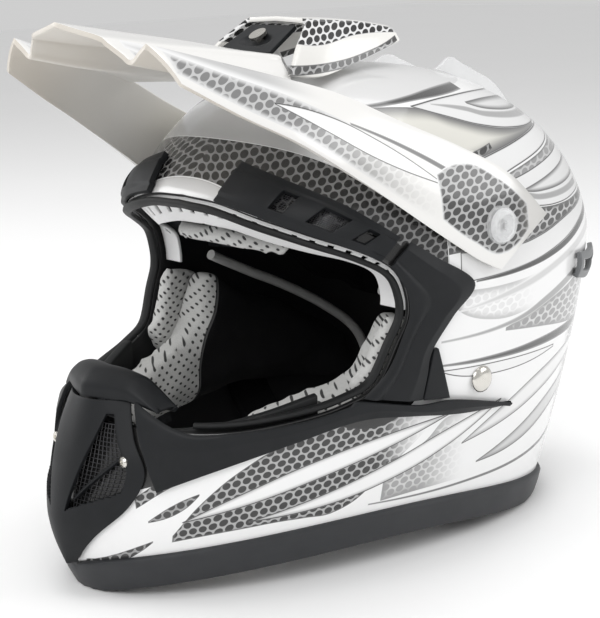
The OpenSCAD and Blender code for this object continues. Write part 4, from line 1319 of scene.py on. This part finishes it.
def evaluated(piece):
    return bpy.data.meshes.new_from_object(piece.evaluated_get(bpy.context.evaluated_depsgraph_get()))


def puffed(piece, voxel, pressure, cap):
    # remeshes the piece, then lets cloth pressure fill it, with each point's move held under cap
    made = piece.modifiers.new("remesh", "REMESH")
    made.mode = "VOXEL"
    made.voxel_size = voxel
    rest = evaluated(piece)
    piece.modifiers.clear()
    piece.data = rest
    cloth = piece.modifiers.new("fill", "CLOTH")
    cloth.settings.use_pressure = True
    cloth.settings.uniform_pressure_force = pressure
    cloth.settings.effector_weights.gravity = 0
    cloth.settings.quality = 5
    cloth.point_cache.frame_end = 20
    for frameNumber in range(1, 21):
        bpy.context.scene.frame_set(frameNumber)
    full = evaluated(piece)
    piece.modifiers.clear()
    for vert, end in zip(rest.vertices, full.vertices):
        move = end.co - vert.co
        vert.co += move * min(1, cap / max(move.length, 1e-9))
    bpy.data.meshes.remove(full)
    bpy.context.scene.frame_set(1)
    bm = bmesh.new()
    bm.from_mesh(piece.data)
    for _ in range(3):
        bmesh.ops.smooth_vert(bm, verts=bm.verts, factor=0.5, use_axis_x=True, use_axis_y=True,
                              use_axis_z=True)
    bm.to_mesh(piece.data)
    bm.free()
    piece.data.shade_smooth()
    made = piece.modifiers.new("round", "SUBSURF")
    made.levels = made.render_levels = 1


def pad(bm, name, material, node, how):
    piece = asObject(bm, name, material)
    puffed(piece, how["voxel"], how["pressure"], how["cap"])
    if not piece.data.materials:
        piece.data.materials.append(material)
    settle(piece, "helmet", (node,))


def pads():
    for word, turn in (("Left", lambda bm: bm), ("Right", mirrored)):
        bm = turn(closedPanel(cheekPad["low"], cheekPad["high"], cheekPad["depths"], 40, 16))
        pad(bm, "cheekPad" + word, cheekFabric(), "cheek_pad_" + word.lower(), cheekPad)
        bm = turn(closedPanel(cheekFront["low"], cheekFront["high"], cheekFront["depths"], 30, 14))
        pad(bm, "cheekFront" + word, perforatedFabric(), "cheek_front_" + word.lower(),
            cheekFront)
    across = [-34 + 8.5 * k for k in range(9)]
    low = [atAngle(a, 205 - (a / 34) ** 2 * 8) for a in across]
    high = [atAngle(a, 218 - (a / 34) ** 2 * 8) for a in across]
    pad(closedPanel(low, high, browPad["depths"], 40, 10), "browPad", perforatedFabric(), "brow_pad",
        browPad)
    low, high = [], []
    for turn in range(140, 221, 8):
        a = min(turn, 360 - turn)
        x, y, z = atAngle(a, 36 + arch(a))
        low.append((-x if turn > 180 else x, y, z))
        high.append((low[-1][0], y, 98))
    pad(closedPanel(low, high, neckRoll["depths"], 40, 14), "neckRoll", linerFabric(), "neck_roll",
        neckRoll)
    cords = []
    for side in (-1, 1):
        run = []
        for k in range(41):
            x, y, z = rail(piping["path"], k / 40)
            x, y, z = onSkin((x, y, z + 4.2), -(skin["wall"] + 38))
            run.append((side * x, y, z))
        cords.append(tube(run, piping["radius"], 12))
    finishPiece(joined(cords), "linerPiping", bindingCloth(), "helmet", ("liner_piping",), "pad_fabric")


strap = dict(path=[(109.6, 2, 98), (108.6, 2, 90), (105.5, 2, 78), (100, 2, 62), (88, 2, 46), (68, 2, 30),
                   (40, 2, 19.5), (0, 2, 16)], width=24, thick=2.4, sleeves=(0.1, 0.66), sleeveLength=0.24)
rivet = dict(place=(2, 105), head=[(0, -16.5), (6, -16.5), (6, -14.9), (3.2, -14.9), (3.2, 0), (8, 0.4),
                                   (7.7, 1.3),
                                   (6.2, 2.3), (3.4, 2.9), (0, 3.1)])
pivot = dict(place=(5, 197), head=[(0, 0.2), (3.9, 0.2), (3.9, 8.6), (10, 8.9), (10, 10.2), (9, 11.8),
                                   (6.6, 12.5),
                                   (6.2, 11.6), (2.4, 11.4), (2.2, 12.2), (0, 12.4)])


def strapSide(s):
    if s <= 0.5:
        return rail(strap["path"], s * 2)
    x, y, z = rail(strap["path"], 2 - s * 2)
    return (-x, y, z)


def bandSheet(start, end, off, width, columns, rows=6):
    def spot(u, v):
        s = lerp(start, end, u)
        p, q, r = strapSide(s), strapSide(max(0, s - 0.004)), strapSide(min(1, s + 0.004))
        run = Vector((r[0] - q[0], 0, r[2] - q[2])).normalized()
        return (p[0] - run.z * off, p[1] + (v - 0.5) * width, p[2] + run.x * off)
    return sheetOf(columns, rows, spot, centre=(0, 2, 90))


def strapPieces():
    bm = bandSheet(0, 1, strap["thick"], strap["width"], 120)
    finishPiece(bm, "strapWebbing", webbingFinish(), "chin_strap", ("strap_webbing",), "webbing",
                wall=strap["thick"], edge=0.6)
    for start, name in zip(strap["sleeves"], ("strapSleeveLeft", "strapSleeveRight")):
        bm = bandSheet(start, start + strap["sleeveLength"], strap["thick"] + 2.0, strap["width"] + 7, 30)
        piece = finishPiece(bm, name, linerFabric(), "chin_strap", ("strap_sleeve",), "sleeve_fabric",
                            wall=strap["thick"] + 4, edge=1.9, segments=4)
    rings = []
    for side in (-1, 1):
        run = []
        for k in range(49):
            turn = 2 * math.pi * k / 48
            wide = math.copysign(abs(math.cos(turn)) ** (1 if math.cos(turn) > 0 else 0.3), math.cos(turn))
            run.append((side * 6 - 12 + 15.2 * wide, 2 + 15.2 * math.sin(turn), 22.3 + side * 1.9))
        rings.append(tube(run[:-1] + run[:1], 1.3, 10))
    finishPiece(joined(rings), "strapRings", steelFinish(), "chin_strap", ("d_rings",), "steel")
    snap = turned([(0, -0.4), (6.6, -0.4), (7, 0.4), (6.4, 1.7), (4.4, 2.1), (0, 1.5)], (58, 2, 30.6),
                  axis=(math.sin(math.radians(38)), 0, math.cos(math.radians(38))))
    finishPiece(snap, "strapSnap", snapFinish(), "chin_strap", ("strap_snap",), "snap_red")


def fasteners():
    y, z = rivet["place"]
    heads = [turned(rivet["head"], (side * 121.2, y, z), axis=(side, 0, 0)) for side in (-1, 1)]
    finishPiece(joined(heads), "strapRivets", steelFinish(), "helmet", ("strap_rivets",), "steel", sharp=40)
    y, z = pivot["place"]
    for side, word in ((1, "Left"), (-1, "Right")):
        screw = turned(pivot["head"], (side * 127.1, y, z), axis=(side, 0, 0))
        finishPiece(screw, "pivotScrew" + word, clearPlastic(), "helmet", ("pivot_screw_" + word.lower(),),
                    "clear_plastic", sharp=40)


addFloor()
for build in (outerShell, eyeportGasket, eyeportRim, neckTrim, chinLip, browVents, sideTrims, chinTrims,
              mouthpiece, noseCover, rearVents, crownFins, peakVisor, peakScoop, scoopInlet, crownLiner,
              pads,
              strapPieces, fasteners):
    build()
    print("built", build.__name__)

for node, finish in (("foam_crown", foamFinish), ("foam_chin", foamFinish), ("pivot_bosses", whitePlastic),
                     ("centre_post", whitePlastic), ("centre_screw", steelFinish),
                     ("strap_anchors", steelFinish),
                     ("peak_bushes", clearPlastic)):
    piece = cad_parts[node]
    piece.data.materials.clear()
    piece.data.materials.append(finish())
